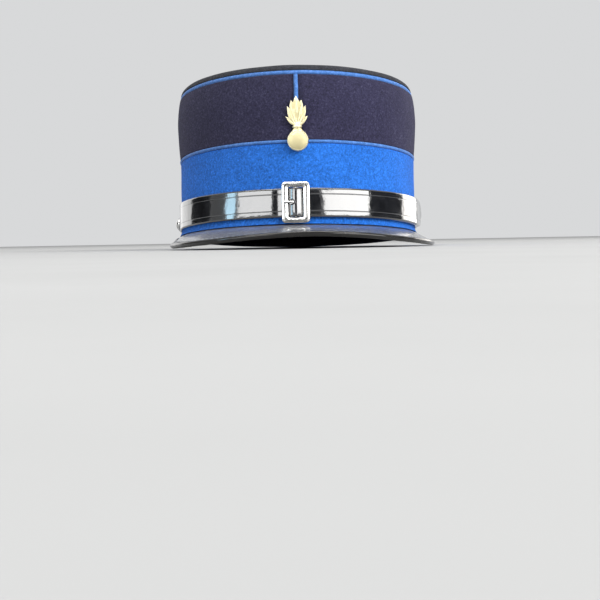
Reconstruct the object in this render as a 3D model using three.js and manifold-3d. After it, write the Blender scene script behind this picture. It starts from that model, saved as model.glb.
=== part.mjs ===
// A kepi: a stiff cloth crown on a lighter band, with piping, a patent leather peak,
// a buckled strap across the front between two side buttons, and a flaming grenade badge.
// Millimetres. Inside the hat group the lower edge of the crown is z = 0, the front faces -Y
// and the wearer's left is at +X. The finished group rests on its peak and its back edge.
import * as THREE from "three";
import { mergeVertices } from "three/addons/utils/BufferGeometryUtils.js";
import Module from "manifold-3d";

const wasm = await Module();
wasm.setup();

// Driving dimensions

const CLEARANCE = 0.3;
const OVAL_STEPS = 54;

const CROWN = {
  width: 173, // across the band, below its top edge
  depth: 208,
  wall: 2.5,
  clothTop: 100.4, // where the side cloth meets the top piping
  swell: 1.85, // how far the side cloth bulges past the band
  neckWall: 1.5, // the turned-in edge behind the top piping
  neckTaper: 6,
};
const BAND = { height: 54.2, thickness: 1.2, flare: 1.6, flareHeight: 5, rimGap: 0.4 };
const TOP = { thickness: 2.6, height: 108, shoulder: 4, shoulderSteps: 4, lip: 4.4, lipSlope: 1 };
const TOP_PIPING = { radius: 1.45, proud: 0.7 };
const BAND_PIPING = { radius: 1 };
const FRONT_PIPING = { radius: 1.5, steps: 10 };
const ROUND_SIDES = { thin: 6, cord: 8, bar: 16, button: 16, ball: 24 };

const PEAK = {
  side: 3.5, // how far it stands out past the crown at its widest
  reach: 43.5, // from the crown to the front edge
  back: 5, // how far behind the middle its ends lie
  endReach: 1.8,
  endDrop: 1.2,
  drop: 12.6,
  dropCurve: 3, // how soon the edge has come down, going from an end to the front
  camber: 0.25,
  thickness: 1.6,
  tuck: 3.2, // the margin that lies under the crown's wall
  turn: 3.2, // degrees, how far it sits round to one side
  steps: 40,
};
const PEAK_ROWS = [0.2, 0.4, 0.6, 0.8, 0.95, 1]; // shares of the way from the crown to the edge
const BINDING = { wall: 0.7, cover: 1.9, front: 0.75, nose: 0.7, room: 0.35 };

const STRAP = {
  width: 19.3,
  thickness: 1.4,
  middle: 13.7, // its height over the rim
  edge: 0.35,
  loopLeather: 1,
  bluntEnd: 0.2,
  stop: 16, // how far from the buckle's middle it starts to bend
  bendSteps: 2,
  stepLength: 6,
};
const BUTTON = { radius: 5, height: 3, rim: 0.8, shank: 1.5, backY: 2, below: 3 };
const STRAP_END = { radius: 9.6, endY: BUTTON.backY + 8.5 };
const TAIL = { radius: 9.6, endY: -7, flare: 1.6, flareLength: 16 };

const BUCKLE = {
  width: 19.4,
  height: 27.9,
  opening: 9.9,
  openingHeight: 20,
  corner: 2.6,
  innerCorner: 1,
  floor: 1.3, // depth of the groove floor
  bead: 0.9, // how far both ridges stand over that floor
  outerBead: 2,
  innerBead: 1.6,
  bar: 0.9,
  barInset: 0.6,
  aside: -0.7,
};
const PRONG = { radius: 0.8, eyeWall: 0.8, eyeHalfWidth: 1, overhang: 0.9, steps: 12 };

const BADGE = {
  tipHeight: 30.2, // from the middle of the ball to the tip of the flame
  ballRadius: 7.4,
  ballProud: 4.2,
  middle: 55.9,
  plate: 1.5,
  relief: 1.1,
  lean: 1.7, // degrees
  aside: 0.8,
  innerFlame: 0.62,
  root: 0.34, // where the flame starts, as a share of the tip's height
  seated: 0.75, // where its back lies on the front seam, as a share of the tip's height
};

// How the side cloth swells: height as a share of the cloth's own height, bulge as a share of the swell
const CLOTH_SWELL = [
  { up: 0, out: 0.15 },
  { up: 0.13, out: 0.43 },
  { up: 0.36, out: 0.78 },
  { up: 0.6, out: 1 },
  { up: 0.8, out: 0.74 },
  { up: 0.93, out: 0.38 },
  { up: 1, out: 0.05 },
];

// Right half of the peak's outline: side as a share of its half width, ahead as a share of the
// way from the middle of the crown to the front edge
const PEAK_OUTLINE = [
  { side: 1, ahead: 0.27 },
  { side: 0.985, ahead: 0.42 },
  { side: 0.9, ahead: 0.61 },
  { side: 0.74, ahead: 0.77 },
  { side: 0.53, ahead: 0.89 },
  { side: 0.28, ahead: 0.97 },
  { side: 0, ahead: 1 },
];

// How the strap bends beside the buckle's bar: across as a share of half the opening, rise as a
// share of the way up from the layer that it lies in
const UNDER_LEFT_BAR = [
  { across: -2, rise: 0 },
  { across: -1.3, rise: 0.08 },
  { across: -0.93, rise: 0.32 },
];
const UNDER_RIGHT_BAR = [
  { across: 0.78, rise: 0.5 },
  { across: 1, rise: 0.1 },
  { across: 1.9, rise: 0 },
];
const INTO_LOOP = [
  { across: 2.1, rise: 0 },
  { across: 1.05, rise: 0 },
  { across: 0.65, rise: 0.22 },
  { across: 0.32, rise: 0.7 },
  { across: 0.08, rise: 1 },
];
const OVER_BAR = [180, 150, 120, 90, 60, 30]; // degrees round the bar
const END_SHARES = [0, 0.04, 0.15, 0.35, 0.65, 1]; // of a rounded end's radius

// Right half of the flame's outline, as shares of the tip's height over the ball's middle
const FLAME_OUTLINE = [
  { side: 0.1, up: 0.34 },
  { side: 0.232, up: 0.477 },
  { side: 0.249, up: 0.556 },
  { side: 0.195, up: 0.579 },
  { side: 0.202, up: 0.772 },
  { side: 0.156, up: 0.752 },
  { side: 0.103, up: 0.914 },
  { side: 0.046, up: 0.881 },
  { side: -0.01, up: 1 },
];
const COLLAR = { width: 6.3, height: 1.5, up: 8.8, neck: 5, thickness: 3 };

// Materials

const finish = (color, roughness, metalness = 0) =>
  new THREE.MeshStandardMaterial({ color, roughness, metalness });
const NAVY_CLOTH = finish(0x35364b, 0.95);
const BLACK_CLOTH = finish(0x2c2c30, 0.95);
const BLUE_CLOTH = finish(0x2f62b4, 0.95);
const BLUE_CORD = finish(0x4f7fc9, 0.85);
const PATENT_LEATHER = finish(0x15171b, 0.12);
const BOUND_LEATHER = finish(0x2c2825, 0.5);
const NICKEL = finish(0xd6d7d8, 0.18, 1);
const PALE_BRASS = finish(0xe1d7a3, 0.4, 1);

// Solids and meshes

function positionsOnly(geometry) {
  const bare = geometry.clone();
  bare.deleteAttribute("normal");
  bare.deleteAttribute("uv");
  const merged = mergeVertices(bare, 1e-4);
  const index = merged.index.array;
  const kept = [];
  for (let i = 0; i < index.length; i += 3) {
    const [a, b, c] = index.slice(i, i + 3);
    if (a !== b && b !== c && c !== a) kept.push(a, b, c);
  }
  merged.setIndex(kept);
  return merged;
}

function toSolid(geometry) {
  const bare = positionsOnly(geometry);
  return new wasm.Manifold(
    new wasm.Mesh({
      numProp: 3,
      vertProperties: new Float32Array(bare.attributes.position.array),
      triVerts: new Uint32Array(bare.index.array),
    })
  );
}

function fromSolid(solid) {
  const { vertProperties, triVerts } = solid.getMesh();
  const geometry = new THREE.BufferGeometry();
  geometry.setAttribute("position", new THREE.BufferAttribute(vertProperties, 3));
  geometry.setIndex(new THREE.BufferAttribute(triVerts, 1));
  return geometry;
}

const joined = (first, ...others) =>
  others.reduce((solid, geometry) => solid.add(toSolid(geometry)), toSolid(first));

function mesh(name, geometry, material) {
  const made = new THREE.Mesh(geometry, material);
  geometry.computeVertexNormals();
  made.name = name;
  return made;
}

function closedGeometry(points, triangles) {
  const geometry = new THREE.BufferGeometry().setFromPoints(points);
  geometry.setIndex(triangles);
  return geometry;
}

// Carries a flat section along a row of stations, each with its place, its outward and its
// upward direction. A loop closes on itself, and an open run is capped at both ends.
function sweep(stations, section, loop = false) {
  const way = stations[1].at.clone().sub(stations[0].at);
  const sameHand = way.dot(stations[0].out.clone().cross(stations[0].up)) > 0;
  const outline = sameHand === THREE.ShapeUtils.isClockWise(section) ? section.toReversed() : section;
  const count = outline.length;
  const points = stations.flatMap(({ at, out, up, tall = 1 }) =>
    outline.map((p) => at.clone().addScaledVector(out, p.x).addScaledVector(up, p.y * tall))
  );
  const triangles = [];
  const spans = loop ? stations.length : stations.length - 1;
  for (let i = 0; i < spans; i++) {
    const here = i * count;
    const next = ((i + 1) % stations.length) * count;
    for (let j = 0; j < count; j++) {
      const k = (j + 1) % count;
      triangles.push(here + j, here + k, next + k, here + j, next + k, next + j);
    }
  }
  if (!loop) {
    const last = (stations.length - 1) * count;
    for (const face of THREE.ShapeUtils.triangulateShape(outline, [])) {
      const [a, b, c] = sameHand ? face : face.toReversed();
      triangles.push(a, c, b, last + a, last + b, last + c);
    }
  }
  return closedGeometry(points, triangles);
}

function polygon(radius, sides) {
  return Array.from({ length: sides }, (_, i) => {
    const angle = ((i + 0.5) / sides) * 2 * Math.PI;
    return new THREE.Vector2(radius * Math.cos(angle), radius * Math.sin(angle));
  });
}

// A plan path becomes stations whose outward side is on the right of the way it runs
function stationsAlong(path, height, loop = false) {
  return path.map((at, i) => {
    const before = path[loop ? (i + path.length - 1) % path.length : Math.max(i - 1, 0)];
    const after = path[loop ? (i + 1) % path.length : Math.min(i + 1, path.length - 1)];
    const way = new THREE.Vector2().subVectors(after, before).normalize();
    return {
      at: new THREE.Vector3(at.x, at.y, height),
      out: new THREE.Vector3(way.y, -way.x, 0),
      up: new THREE.Vector3(0, 0, 1),
    };
  });
}

// The crown's oval

const LENGTHENING = (CROWN.depth - CROWN.width) / 2;
const BAND_HALF = CROWN.width / 2;

function ovalPoint(half, angle) {
  return new THREE.Vector2(half * Math.cos(angle), (half + LENGTHENING) * Math.sin(angle));
}

function ovalPath(half) {
  const angle = (i) => (2 * Math.PI * i) / OVAL_STEPS;
  return Array.from({ length: OVAL_STEPS }, (_, i) => ovalPoint(half, angle(i)));
}

// Turns a profile of half widths and heights into an oval body
function ovalLathe(profile) {
  const geometry = new THREE.LatheGeometry(profile, OVAL_STEPS, Math.PI / 2);
  geometry.rotateX(Math.PI / 2);
  const place = geometry.attributes.position;
  for (let i = 0; i < place.count; i++) {
    const half = Math.hypot(place.getX(i), place.getY(i));
    if (half > CLEARANCE) place.setY(i, (place.getY(i) * (half + LENGTHENING)) / half);
  }
  return positionsOnly(geometry);
}

const v2 = (x, y) => new THREE.Vector2(x, y);

function bandHalf(height) {
  const low = Math.max(0, 1 - height / BAND.flareHeight);
  return BAND_HALF + BAND.flare * low * low;
}

const LEDGE = BAND.height + 2 * BAND_PIPING.radius + 2 * CLEARANCE;
const clothHeight = (up) => LEDGE + (CROWN.clothTop - LEDGE) * up;

function clothHalf(height) {
  const up = THREE.MathUtils.clamp((height - LEDGE) / (CROWN.clothTop - LEDGE), 0, 1);
  const row = Math.max(1, CLOTH_SWELL.findIndex((swell) => swell.up >= up));
  const [low, high] = [CLOTH_SWELL[row - 1], CLOTH_SWELL[row]];
  const share = (up - low.up) / (high.up - low.up);
  return BAND_HALF + CROWN.swell * THREE.MathUtils.lerp(low.out, high.out, share);
}

const underBand = (height) => bandHalf(height) - BAND.thickness - CLEARANCE;
const BAND_ROWS = [0.035, 0.1, 1]; // shares of the band's height
const TOP_PIPING_HALF = BAND_HALF - TOP_PIPING.proud - TOP_PIPING.radius;
const TOP_PIPING_HEIGHT = CROWN.clothTop + CLEARANCE + TOP_PIPING.radius;
const LIP_HEIGHT = TOP_PIPING_HEIGHT + TOP_PIPING.radius + CLEARANCE;
const NECK_HALF = TOP_PIPING_HALF - TOP_PIPING.radius - CLEARANCE;

function crownShell() {
  const outside = [
    v2(underBand(0), 0),
    ...BAND_ROWS.map((up) => v2(underBand(BAND.height * up), BAND.height * up)),
    v2(underBand(LEDGE), LEDGE),
    ...CLOTH_SWELL.map(({ up }) => v2(clothHalf(clothHeight(up)), clothHeight(up))),
    v2(NECK_HALF, CROWN.clothTop),
    v2(NECK_HALF, LIP_HEIGHT - CLEARANCE),
  ];
  const neckInside = NECK_HALF - CROWN.neckWall;
  const taperStart = CROWN.clothTop - CROWN.neckTaper;
  const inside = [
    v2(neckInside, LIP_HEIGHT - CLEARANCE),
    v2(neckInside, CROWN.clothTop - CROWN.wall),
    v2(clothHalf(taperStart) - CROWN.wall, taperStart),
    v2(underBand(BAND.height) - CROWN.wall, BAND.height),
    v2(underBand(BAND.flareHeight) - CROWN.wall, BAND.flareHeight),
    v2(underBand(0) - CROWN.wall, 0),
  ];
  const wall = toSolid(ovalLathe([...outside, ...inside, outside[0]]));
  const seam = frontSeam(LEDGE - CLEARANCE, CROWN.clothTop + CLEARANCE);
  const groove = sweep(seam, polygon(FRONT_PIPING.radius + CLEARANCE, ROUND_SIDES.cord));
  return mesh("crown_shell", fromSolid(wall.subtract(toSolid(groove))), NAVY_CLOTH);
}

// Stations up the middle of the front, on the face of the side cloth
function frontSeam(from, to) {
  const { steps } = FRONT_PIPING;
  return Array.from({ length: steps + 1 }, (_, i) => {
    const height = from + ((to - from) * i) / steps;
    return {
      at: new THREE.Vector3(0, -clothHalf(height) - LENGTHENING, height),
      out: new THREE.Vector3(1, 0, 0),
      up: new THREE.Vector3(0, 1, 0),
    };
  });
}

function crownTop() {
  const edge = BAND_HALF - TOP_PIPING.proud;
  const rise = TOP.height - LIP_HEIGHT;
  const shoulder = Array.from({ length: TOP.shoulderSteps + 1 }, (_, i) => {
    const angle = (i / TOP.shoulderSteps) * (Math.PI / 2);
    return v2(edge - TOP.shoulder * (1 - Math.cos(angle)), LIP_HEIGHT + rise * Math.sin(angle));
  });
  const under = TOP.height - TOP.thickness;
  const profile = [
    v2(0, under),
    v2(edge - TOP.lip - TOP.lipSlope, under),
    v2(edge - TOP.lip, LIP_HEIGHT),
    ...shoulder,
    v2(0, TOP.height),
  ];
  return mesh("crown_top", ovalLathe(profile), BLACK_CLOTH);
}

function band() {
  const heights = [BAND.rimGap, ...BAND_ROWS.map((up) => BAND.height * up)];
  const profile = [
    ...heights.map((height) => v2(bandHalf(height), height)),
    ...heights.toReversed().map((height) => v2(bandHalf(height) - BAND.thickness, height)),
  ];
  return mesh("band", ovalLathe([...profile, profile[0]]), BLUE_CLOTH);
}

function bandPiping() {
  const half = underBand(BAND.height) + CLEARANCE + BAND_PIPING.radius;
  const height = BAND.height + CLEARANCE + BAND_PIPING.radius;
  const stations = stationsAlong(ovalPath(half), height, true);
  return mesh("band_piping", sweep(stations, polygon(BAND_PIPING.radius, ROUND_SIDES.thin), true), BLUE_CORD);
}

function topPiping() {
  const stations = stationsAlong(ovalPath(TOP_PIPING_HALF), TOP_PIPING_HEIGHT, true);
  return mesh("top_piping", sweep(stations, polygon(TOP_PIPING.radius, ROUND_SIDES.thin), true), BLUE_CORD);
}

function frontPiping() {
  const seam = frontSeam(LEDGE, CROWN.clothTop);
  return mesh("front_piping", sweep(seam, polygon(FRONT_PIPING.radius, ROUND_SIDES.cord)), BLUE_CORD);
}

// Peak

const RIM_HALF = bandHalf(0);
const PEAK_HALF = RIM_HALF + PEAK.side;
const PEAK_AHEAD = RIM_HALF + LENGTHENING + PEAK.reach;
const PEAK_TURN = THREE.MathUtils.degToRad(PEAK.turn);

function peakEdge() {
  const backAngle = Math.asin(PEAK.back / (RIM_HALF + LENGTHENING));
  const end = (angle) => ovalPoint(RIM_HALF + PEAK.endReach, angle + PEAK_TURN);
  const turned = (sign) => ({ side, ahead }) =>
    v2(sign * side * PEAK_HALF, -ahead * PEAK_AHEAD).rotateAround(v2(0, 0), PEAK_TURN);
  const plan = [
    end(Math.PI - backAngle),
    ...PEAK_OUTLINE.map(turned(-1)),
    ...PEAK_OUTLINE.slice(0, -1).toReversed().map(turned(1)),
    end(backAngle),
  ];
  const curve = new THREE.SplineCurve(plan);
  return curve.getSpacedPoints(PEAK.steps);
}

// Rows from the tucked margin out to the edge, each with one point for every step along the peak
function peakSurface() {
  const edge = peakEdge();
  const angles = edge.map(({ x, y }) => Math.atan2(y / (RIM_HALF + LENGTHENING), x / RIM_HALF));
  const seated = (half) => angles.map((angle) => {
    const { x, y } = ovalPoint(half, angle);
    return new THREE.Vector3(x, y, -CLEARANCE);
  });
  const rim = seated(RIM_HALF);
  const sloping = PEAK_ROWS.map((out) =>
    edge.map(({ x, y }, i) => {
      const share = 1 - Math.abs((2 * i) / PEAK.steps - 1);
      const whole = PEAK.endDrop + (PEAK.drop - PEAK.endDrop) * (1 - (1 - share) ** PEAK.dropCurve);
      const drop = whole * out * (1 + PEAK.camber * (out - 1));
      return rim[i].clone().lerp(new THREE.Vector3(x, y, -CLEARANCE), out).setZ(-CLEARANCE - drop);
    })
  );
  return [seated(RIM_HALF - PEAK.tuck), rim, ...sloping];
}

// A closed plate under a grid of points
function plate(rows, thickness) {
  const [deep, wide] = [rows.length, rows[0].length];
  const top = rows.flat();
  const under = top.map((p) => p.clone().setZ(p.z - thickness));
  const triangles = [];
  const quad = (a, b, c, d) => triangles.push(a, b, c, a, c, d);
  const id = (i, j) => i * wide + j;
  for (let i = 0; i + 1 < deep; i++) {
    for (let j = 0; j + 1 < wide; j++) {
      const corners = [id(i, j), id(i + 1, j), id(i + 1, j + 1), id(i, j + 1)];
      quad(...corners);
      quad(...corners.toReversed().map((k) => k + top.length));
    }
  }
  const rim = [
    ...Array.from({ length: wide - 1 }, (_, j) => id(0, j)),
    ...Array.from({ length: deep - 1 }, (_, i) => id(i, wide - 1)),
    ...Array.from({ length: wide - 1 }, (_, j) => id(deep - 1, wide - 1 - j)),
    ...Array.from({ length: deep - 1 }, (_, i) => id(deep - 1 - i, 0)),
  ];
  rim.forEach((a, k) => {
    const b = rim[(k + 1) % rim.length];
    quad(a, b, b + top.length, a + top.length);
  });
  return closedGeometry([...top, ...under], triangles);
}

function peak() {
  return mesh("peak", plate(peakSurface(), PEAK.thickness), PATENT_LEATHER);
}

function peakBinding() {
  const rows = peakSurface();
  const edge = rows.at(-1).map((p) => p.clone().setZ(p.z - PEAK.thickness / 2));
  const inner = rows.at(-2).map((p) => p.clone().setZ(p.z - PEAK.thickness / 2));
  const stations = edge.map((at, i) => {
    const way = edge[Math.min(i + 1, edge.length - 1)].clone().sub(edge[Math.max(i - 1, 0)]).normalize();
    const slope = at.clone().sub(inner[i]);
    const out = slope.addScaledVector(way, -slope.dot(way)).normalize();
    return { at, out, up: new THREE.Vector3().crossVectors(way, out).normalize() };
  });
  const slot = PEAK.thickness / 2 + BINDING.room;
  const half = slot + BINDING.wall;
  const section = [
    v2(-BINDING.cover, half),
    v2(BINDING.front, half),
    v2(BINDING.front + BINDING.nose, half / 2),
    v2(BINDING.front + BINDING.nose, -half / 2),
    v2(BINDING.front, -half),
    v2(-BINDING.cover, -half),
    v2(-BINDING.cover, -slot),
    v2(BINDING.front, -slot),
    v2(BINDING.front, slot),
    v2(-BINDING.cover, slot),
  ];
  return mesh("peak_binding", sweep(stations, section), BOUND_LEATHER);
}

// Strap. Plan points are given by how far they lie off the band's face.

const LOW_LAYER = CLEARANCE + STRAP.thickness / 2;
const HIGH_LAYER = LOW_LAYER + STRAP.thickness + CLEARANCE;
const BUCKLE_BACK = HIGH_LAYER + STRAP.thickness / 2 + CLEARANCE;
const BAR_OUT = BUCKLE_BACK + BUCKLE.barInset;
const EYE = BUCKLE.bar + CLEARANCE;
const LOOP = EYE + STRAP.loopLeather;
const HUMP = LOOP + CLEARANCE + STRAP.thickness / 2;

const angleLeft = (half, y) => Math.PI - Math.asin(y / (half + LENGTHENING));
const angleRight = (half, y) => 2 * Math.PI + Math.asin(y / (half + LENGTHENING));

function acrossFront(x, off) {
  const half = BAND_HALF + off;
  return ovalPoint(half, -Math.acos((x + BUCKLE.aside) / half));
}

const roundedHeight = (distance, radius) =>
  Math.max(STRAP.bluntEnd, Math.sqrt(1 - Math.max(0, 1 - distance / radius) ** 2));

// Stations from a rounded end, behind the side of the crown, forward to the buckle
function strapRun({ endY, radius, layer, angleAt, stopX, flare = 0 }) {
  const half = BAND_HALF + layer;
  const rounding = END_SHARES.map((share) => {
    const distance = share * radius;
    const lift = flare * Math.max(0, 1 - distance / TAIL.flareLength) ** 2;
    const at = ovalPoint(half + lift, angleAt(half + lift, endY - distance));
    return { at, tall: roundedHeight(distance, radius) };
  });
  const from = angleAt(half, endY - radius);
  const to = 2 * Math.PI - Math.acos((stopX + BUCKLE.aside) / half);
  const steps = Math.round((Math.abs(to - from) * half) / STRAP.stepLength);
  const along = Array.from({ length: steps }, (_, i) => {
    const angle = from + ((to - from) * (i + 1)) / steps;
    const distance = radius + Math.abs(angle - from) * half;
    const lift = flare * Math.max(0, 1 - distance / TAIL.flareLength) ** 2;
    return { at: ovalPoint(half + lift, angle), tall: 1 };
  });
  return [...rounding, ...along];
}

const overBar = (degrees) => {
  const angle = THREE.MathUtils.degToRad(degrees);
  return acrossFront(HUMP * Math.cos(angle), BAR_OUT + HUMP * Math.sin(angle));
};

const crossing = (rows, layer, target) =>
  rows.map(({ across, rise }) =>
    acrossFront((across * BUCKLE.opening) / 2, layer + rise * (target - layer))
  );

// A strap through these stations, smoothed where it bends at the buckle
function strapBody(controls) {
  const curve = new THREE.CatmullRomCurve3(
    controls.map(({ at }) => new THREE.Vector3(at.x, at.y, 0)),
    false,
    "centripetal"
  );
  const path = [];
  const heights = [];
  controls.forEach(({ tall = 1, bend = false }, i) => {
    const parts = bend && i + 1 < controls.length ? STRAP.bendSteps : 1;
    for (let k = 0; k < parts; k++) {
      path.push(curve.getPoint((i + k / parts) / (controls.length - 1)));
      heights.push(tall);
    }
  });
  const half = { thick: STRAP.thickness / 2, tall: STRAP.width / 2 };
  const section = [
    v2(-half.thick, STRAP.edge - half.tall),
    v2(STRAP.edge - half.thick, -half.tall),
    v2(half.thick - STRAP.edge, -half.tall),
    v2(half.thick, STRAP.edge - half.tall),
    v2(half.thick, half.tall - STRAP.edge),
    v2(half.thick - STRAP.edge, half.tall),
    v2(STRAP.edge - half.thick, half.tall),
    v2(-half.thick, half.tall - STRAP.edge),
  ];
  const stations = stationsAlong(path, STRAP.middle).map((station, i) => ({
    ...station,
    tall: heights[i],
  }));
  return toSolid(sweep(stations, section));
}

const bending = (points) => points.map((at) => ({ at, bend: true }));

function strapLong() {
  const left = strapRun({ ...STRAP_END, layer: LOW_LAYER, angleAt: angleLeft, stopX: -STRAP.stop });
  const right = strapRun({ ...TAIL, layer: HIGH_LAYER, angleAt: angleRight, stopX: STRAP.stop });
  const body = strapBody([
    ...left,
    ...bending([
      ...crossing(UNDER_LEFT_BAR, LOW_LAYER, BAR_OUT),
      ...OVER_BAR.map(overBar),
      ...crossing(UNDER_RIGHT_BAR, HIGH_LAYER, BAR_OUT),
    ]),
    ...right.toReversed(),
  ]);
  const prongHole = toSolid(prongShaft(PRONG.radius + CLEARANCE));
  const pierced = body.subtract(prongHole).subtract(shankHole(angleLeft));
  return mesh("strap_long", fromSolid(pierced), PATENT_LEATHER);
}

function strapShort() {
  const run = strapRun({ ...STRAP_END, layer: LOW_LAYER, angleAt: angleRight, stopX: STRAP.stop });
  const ringBottom = BAR_OUT - (EYE + LOOP) / 2;
  const body = strapBody([...run, ...bending(crossing(INTO_LOOP, LOW_LAYER, ringBottom))]);
  const looped = body
    .add(toSolid(barCylinder(LOOP, STRAP.width)))
    .subtract(toSolid(barCylinder(EYE, STRAP.width + CLEARANCE)))
    .subtract(toSolid(barCylinder(LOOP + CLEARANCE, 2 * (PRONG.eyeHalfWidth + CLEARANCE))))
    .subtract(shankHole(angleRight));
  return mesh("strap_short", fromSolid(looped), PATENT_LEATHER);
}

// Buckle, in the upright plane across the front

const BUCKLE_FACE = -(BAND_HALF + LENGTHENING);

function barCylinder(radius, height) {
  const geometry = new THREE.CylinderGeometry(radius, radius, height, ROUND_SIDES.bar);
  geometry.rotateX(Math.PI / 2);
  geometry.translate(BUCKLE.aside, BUCKLE_FACE - BAR_OUT, STRAP.middle);
  return geometry;
}

function roundedBox(path, width, height, radius) {
  const [x, y] = [width / 2 - radius, height / 2 - radius];
  path.absarc(x, y, radius, 0, Math.PI / 2);
  path.absarc(-x, y, radius, Math.PI / 2, Math.PI);
  path.absarc(-x, -y, radius, Math.PI, 1.5 * Math.PI);
  path.absarc(x, -y, radius, 1.5 * Math.PI, 2 * Math.PI);
  return path;
}

// A ring of the buckle between two insets from its outer edge, from one depth to another
function buckleRing(fromInset, toInset, start, depth) {
  const sideWall = (BUCKLE.width - BUCKLE.opening) / 2;
  const endWall = (BUCKLE.height - BUCKLE.openingHeight) / 2;
  const at = (path, inset) => {
    const share = inset / sideWall;
    const radius = THREE.MathUtils.lerp(BUCKLE.corner, BUCKLE.innerCorner, share);
    return roundedBox(path, BUCKLE.width - 2 * inset, BUCKLE.height - 2 * share * endWall, radius);
  };
  const shape = at(new THREE.Shape(), fromInset);
  shape.holes.push(at(new THREE.Path(), toInset));
  const geometry = new THREE.ExtrudeGeometry(shape, { depth, bevelEnabled: false, curveSegments: 4 });
  geometry.rotateX(Math.PI / 2);
  geometry.translate(BUCKLE.aside, BUCKLE_FACE - BUCKLE_BACK - start, STRAP.middle);
  return geometry;
}

function buckleFrame() {
  const wall = (BUCKLE.width - BUCKLE.opening) / 2;
  const whole = BUCKLE.floor + BUCKLE.bead;
  const frame = joined(
    buckleRing(0, wall, 0, BUCKLE.floor),
    buckleRing(0, BUCKLE.outerBead, 0, whole),
    buckleRing(wall - BUCKLE.innerBead, wall, 0, whole),
    barCylinder(BUCKLE.bar, BUCKLE.openingHeight + BUCKLE.bead)
  );
  return mesh("buckle_frame", fromSolid(frame), NICKEL);
}

// From the eye on the bar, out through the strap, to rest on the frame's left side
function prongShaft(radius) {
  const front = BUCKLE_BACK + BUCKLE.floor + BUCKLE.bead + CLEARANCE + PRONG.radius;
  const side = (BUCKLE.width + BUCKLE.opening) / 4;
  const rows = [
    { x: -EYE, off: BAR_OUT + EYE },
    { x: -HUMP, off: (BAR_OUT + EYE + 2 * front) / 3 },
    { x: -BUCKLE.opening / 2, off: front },
    { x: -side, off: front },
    { x: -side - PRONG.overhang, off: front },
  ];
  const curve = new THREE.CatmullRomCurve3(
    rows.map(({ x, off }) => new THREE.Vector3(BUCKLE.aside + x, BUCKLE_FACE - off, 0))
  );
  const stations = stationsAlong(curve.getSpacedPoints(PRONG.steps), STRAP.middle);
  return sweep(stations, polygon(radius, ROUND_SIDES.cord));
}

function buckleProng() {
  const eye = toSolid(barCylinder(EYE + PRONG.eyeWall, 2 * PRONG.eyeHalfWidth));
  const bored = eye.subtract(toSolid(barCylinder(EYE, STRAP.width)));
  return mesh("buckle_prong", fromSolid(bored.add(toSolid(prongShaft(PRONG.radius)))), NICKEL);
}

// Side buttons

const DOME_STEPS = 4;

// The profile of a dome, from its widest at one height to its middle at another
function dome(radius, from, to) {
  return Array.from({ length: DOME_STEPS + 1 }, (_, i) => {
    const angle = (i / DOME_STEPS) * (Math.PI / 2);
    const out = i < DOME_STEPS ? radius * Math.cos(angle) : 0;
    return v2(out, from + (to - from) * Math.sin(angle));
  });
}

const STRAP_OUT = BAND_HALF + 2 * CLEARANCE + STRAP.thickness;

function buttonSeat(angleAt) {
  const angle = angleAt(STRAP_OUT, BUTTON.backY);
  const { x, y } = ovalPoint(STRAP_OUT, angle);
  return {
    at: new THREE.Vector3(x, y, STRAP.middle - BUTTON.below),
    out: new THREE.Vector3(Math.sign(x), 0, 0),
  };
}

function button(name, angleAt) {
  const { at, out } = buttonSeat(angleAt);
  const shankLength = STRAP.thickness + CLEARANCE;
  const profile = [
    v2(0, -shankLength),
    v2(BUTTON.shank, -shankLength),
    v2(BUTTON.shank, 0),
    v2(BUTTON.radius, 0),
    ...dome(BUTTON.radius, BUTTON.rim, BUTTON.height),
  ];
  const made = mesh(name, positionsOnly(new THREE.LatheGeometry(profile, ROUND_SIDES.button)), NICKEL);
  made.position.copy(at);
  made.quaternion.setFromUnitVectors(new THREE.Vector3(0, 1, 0), out);
  return made;
}

function shankHole(angleAt) {
  const { at, out } = buttonSeat(angleAt);
  const radius = BUTTON.shank + CLEARANCE;
  const geometry = new THREE.CylinderGeometry(radius, radius, 4 * STRAP.thickness, ROUND_SIDES.bar);
  geometry.applyQuaternion(new THREE.Quaternion().setFromUnitVectors(new THREE.Vector3(0, 1, 0), out));
  geometry.translate(at.x, at.y, at.z);
  return toSolid(geometry);
}

// Badge, built flat with its back at z = 0 and the middle of the ball at the origin

function flameShape(scale) {
  const point = (sign) => ({ side, up }) =>
    v2(sign * side * BADGE.tipHeight * scale, (up * scale + BADGE.root * (1 - scale)) * BADGE.tipHeight);
  const right = FLAME_OUTLINE.map(point(1));
  const left = FLAME_OUTLINE.slice(0, -1).toReversed().map(point(-1));
  return new THREE.Shape([...right, ...left]);
}

const extruded = (shape, depth) =>
  new THREE.ExtrudeGeometry(shape, { depth, bevelEnabled: false, curveSegments: 4 });

function upright(width, from, to) {
  return new THREE.Shape([v2(-width / 2, from), v2(width / 2, from), v2(width / 2, to), v2(-width / 2, to)]);
}

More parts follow.
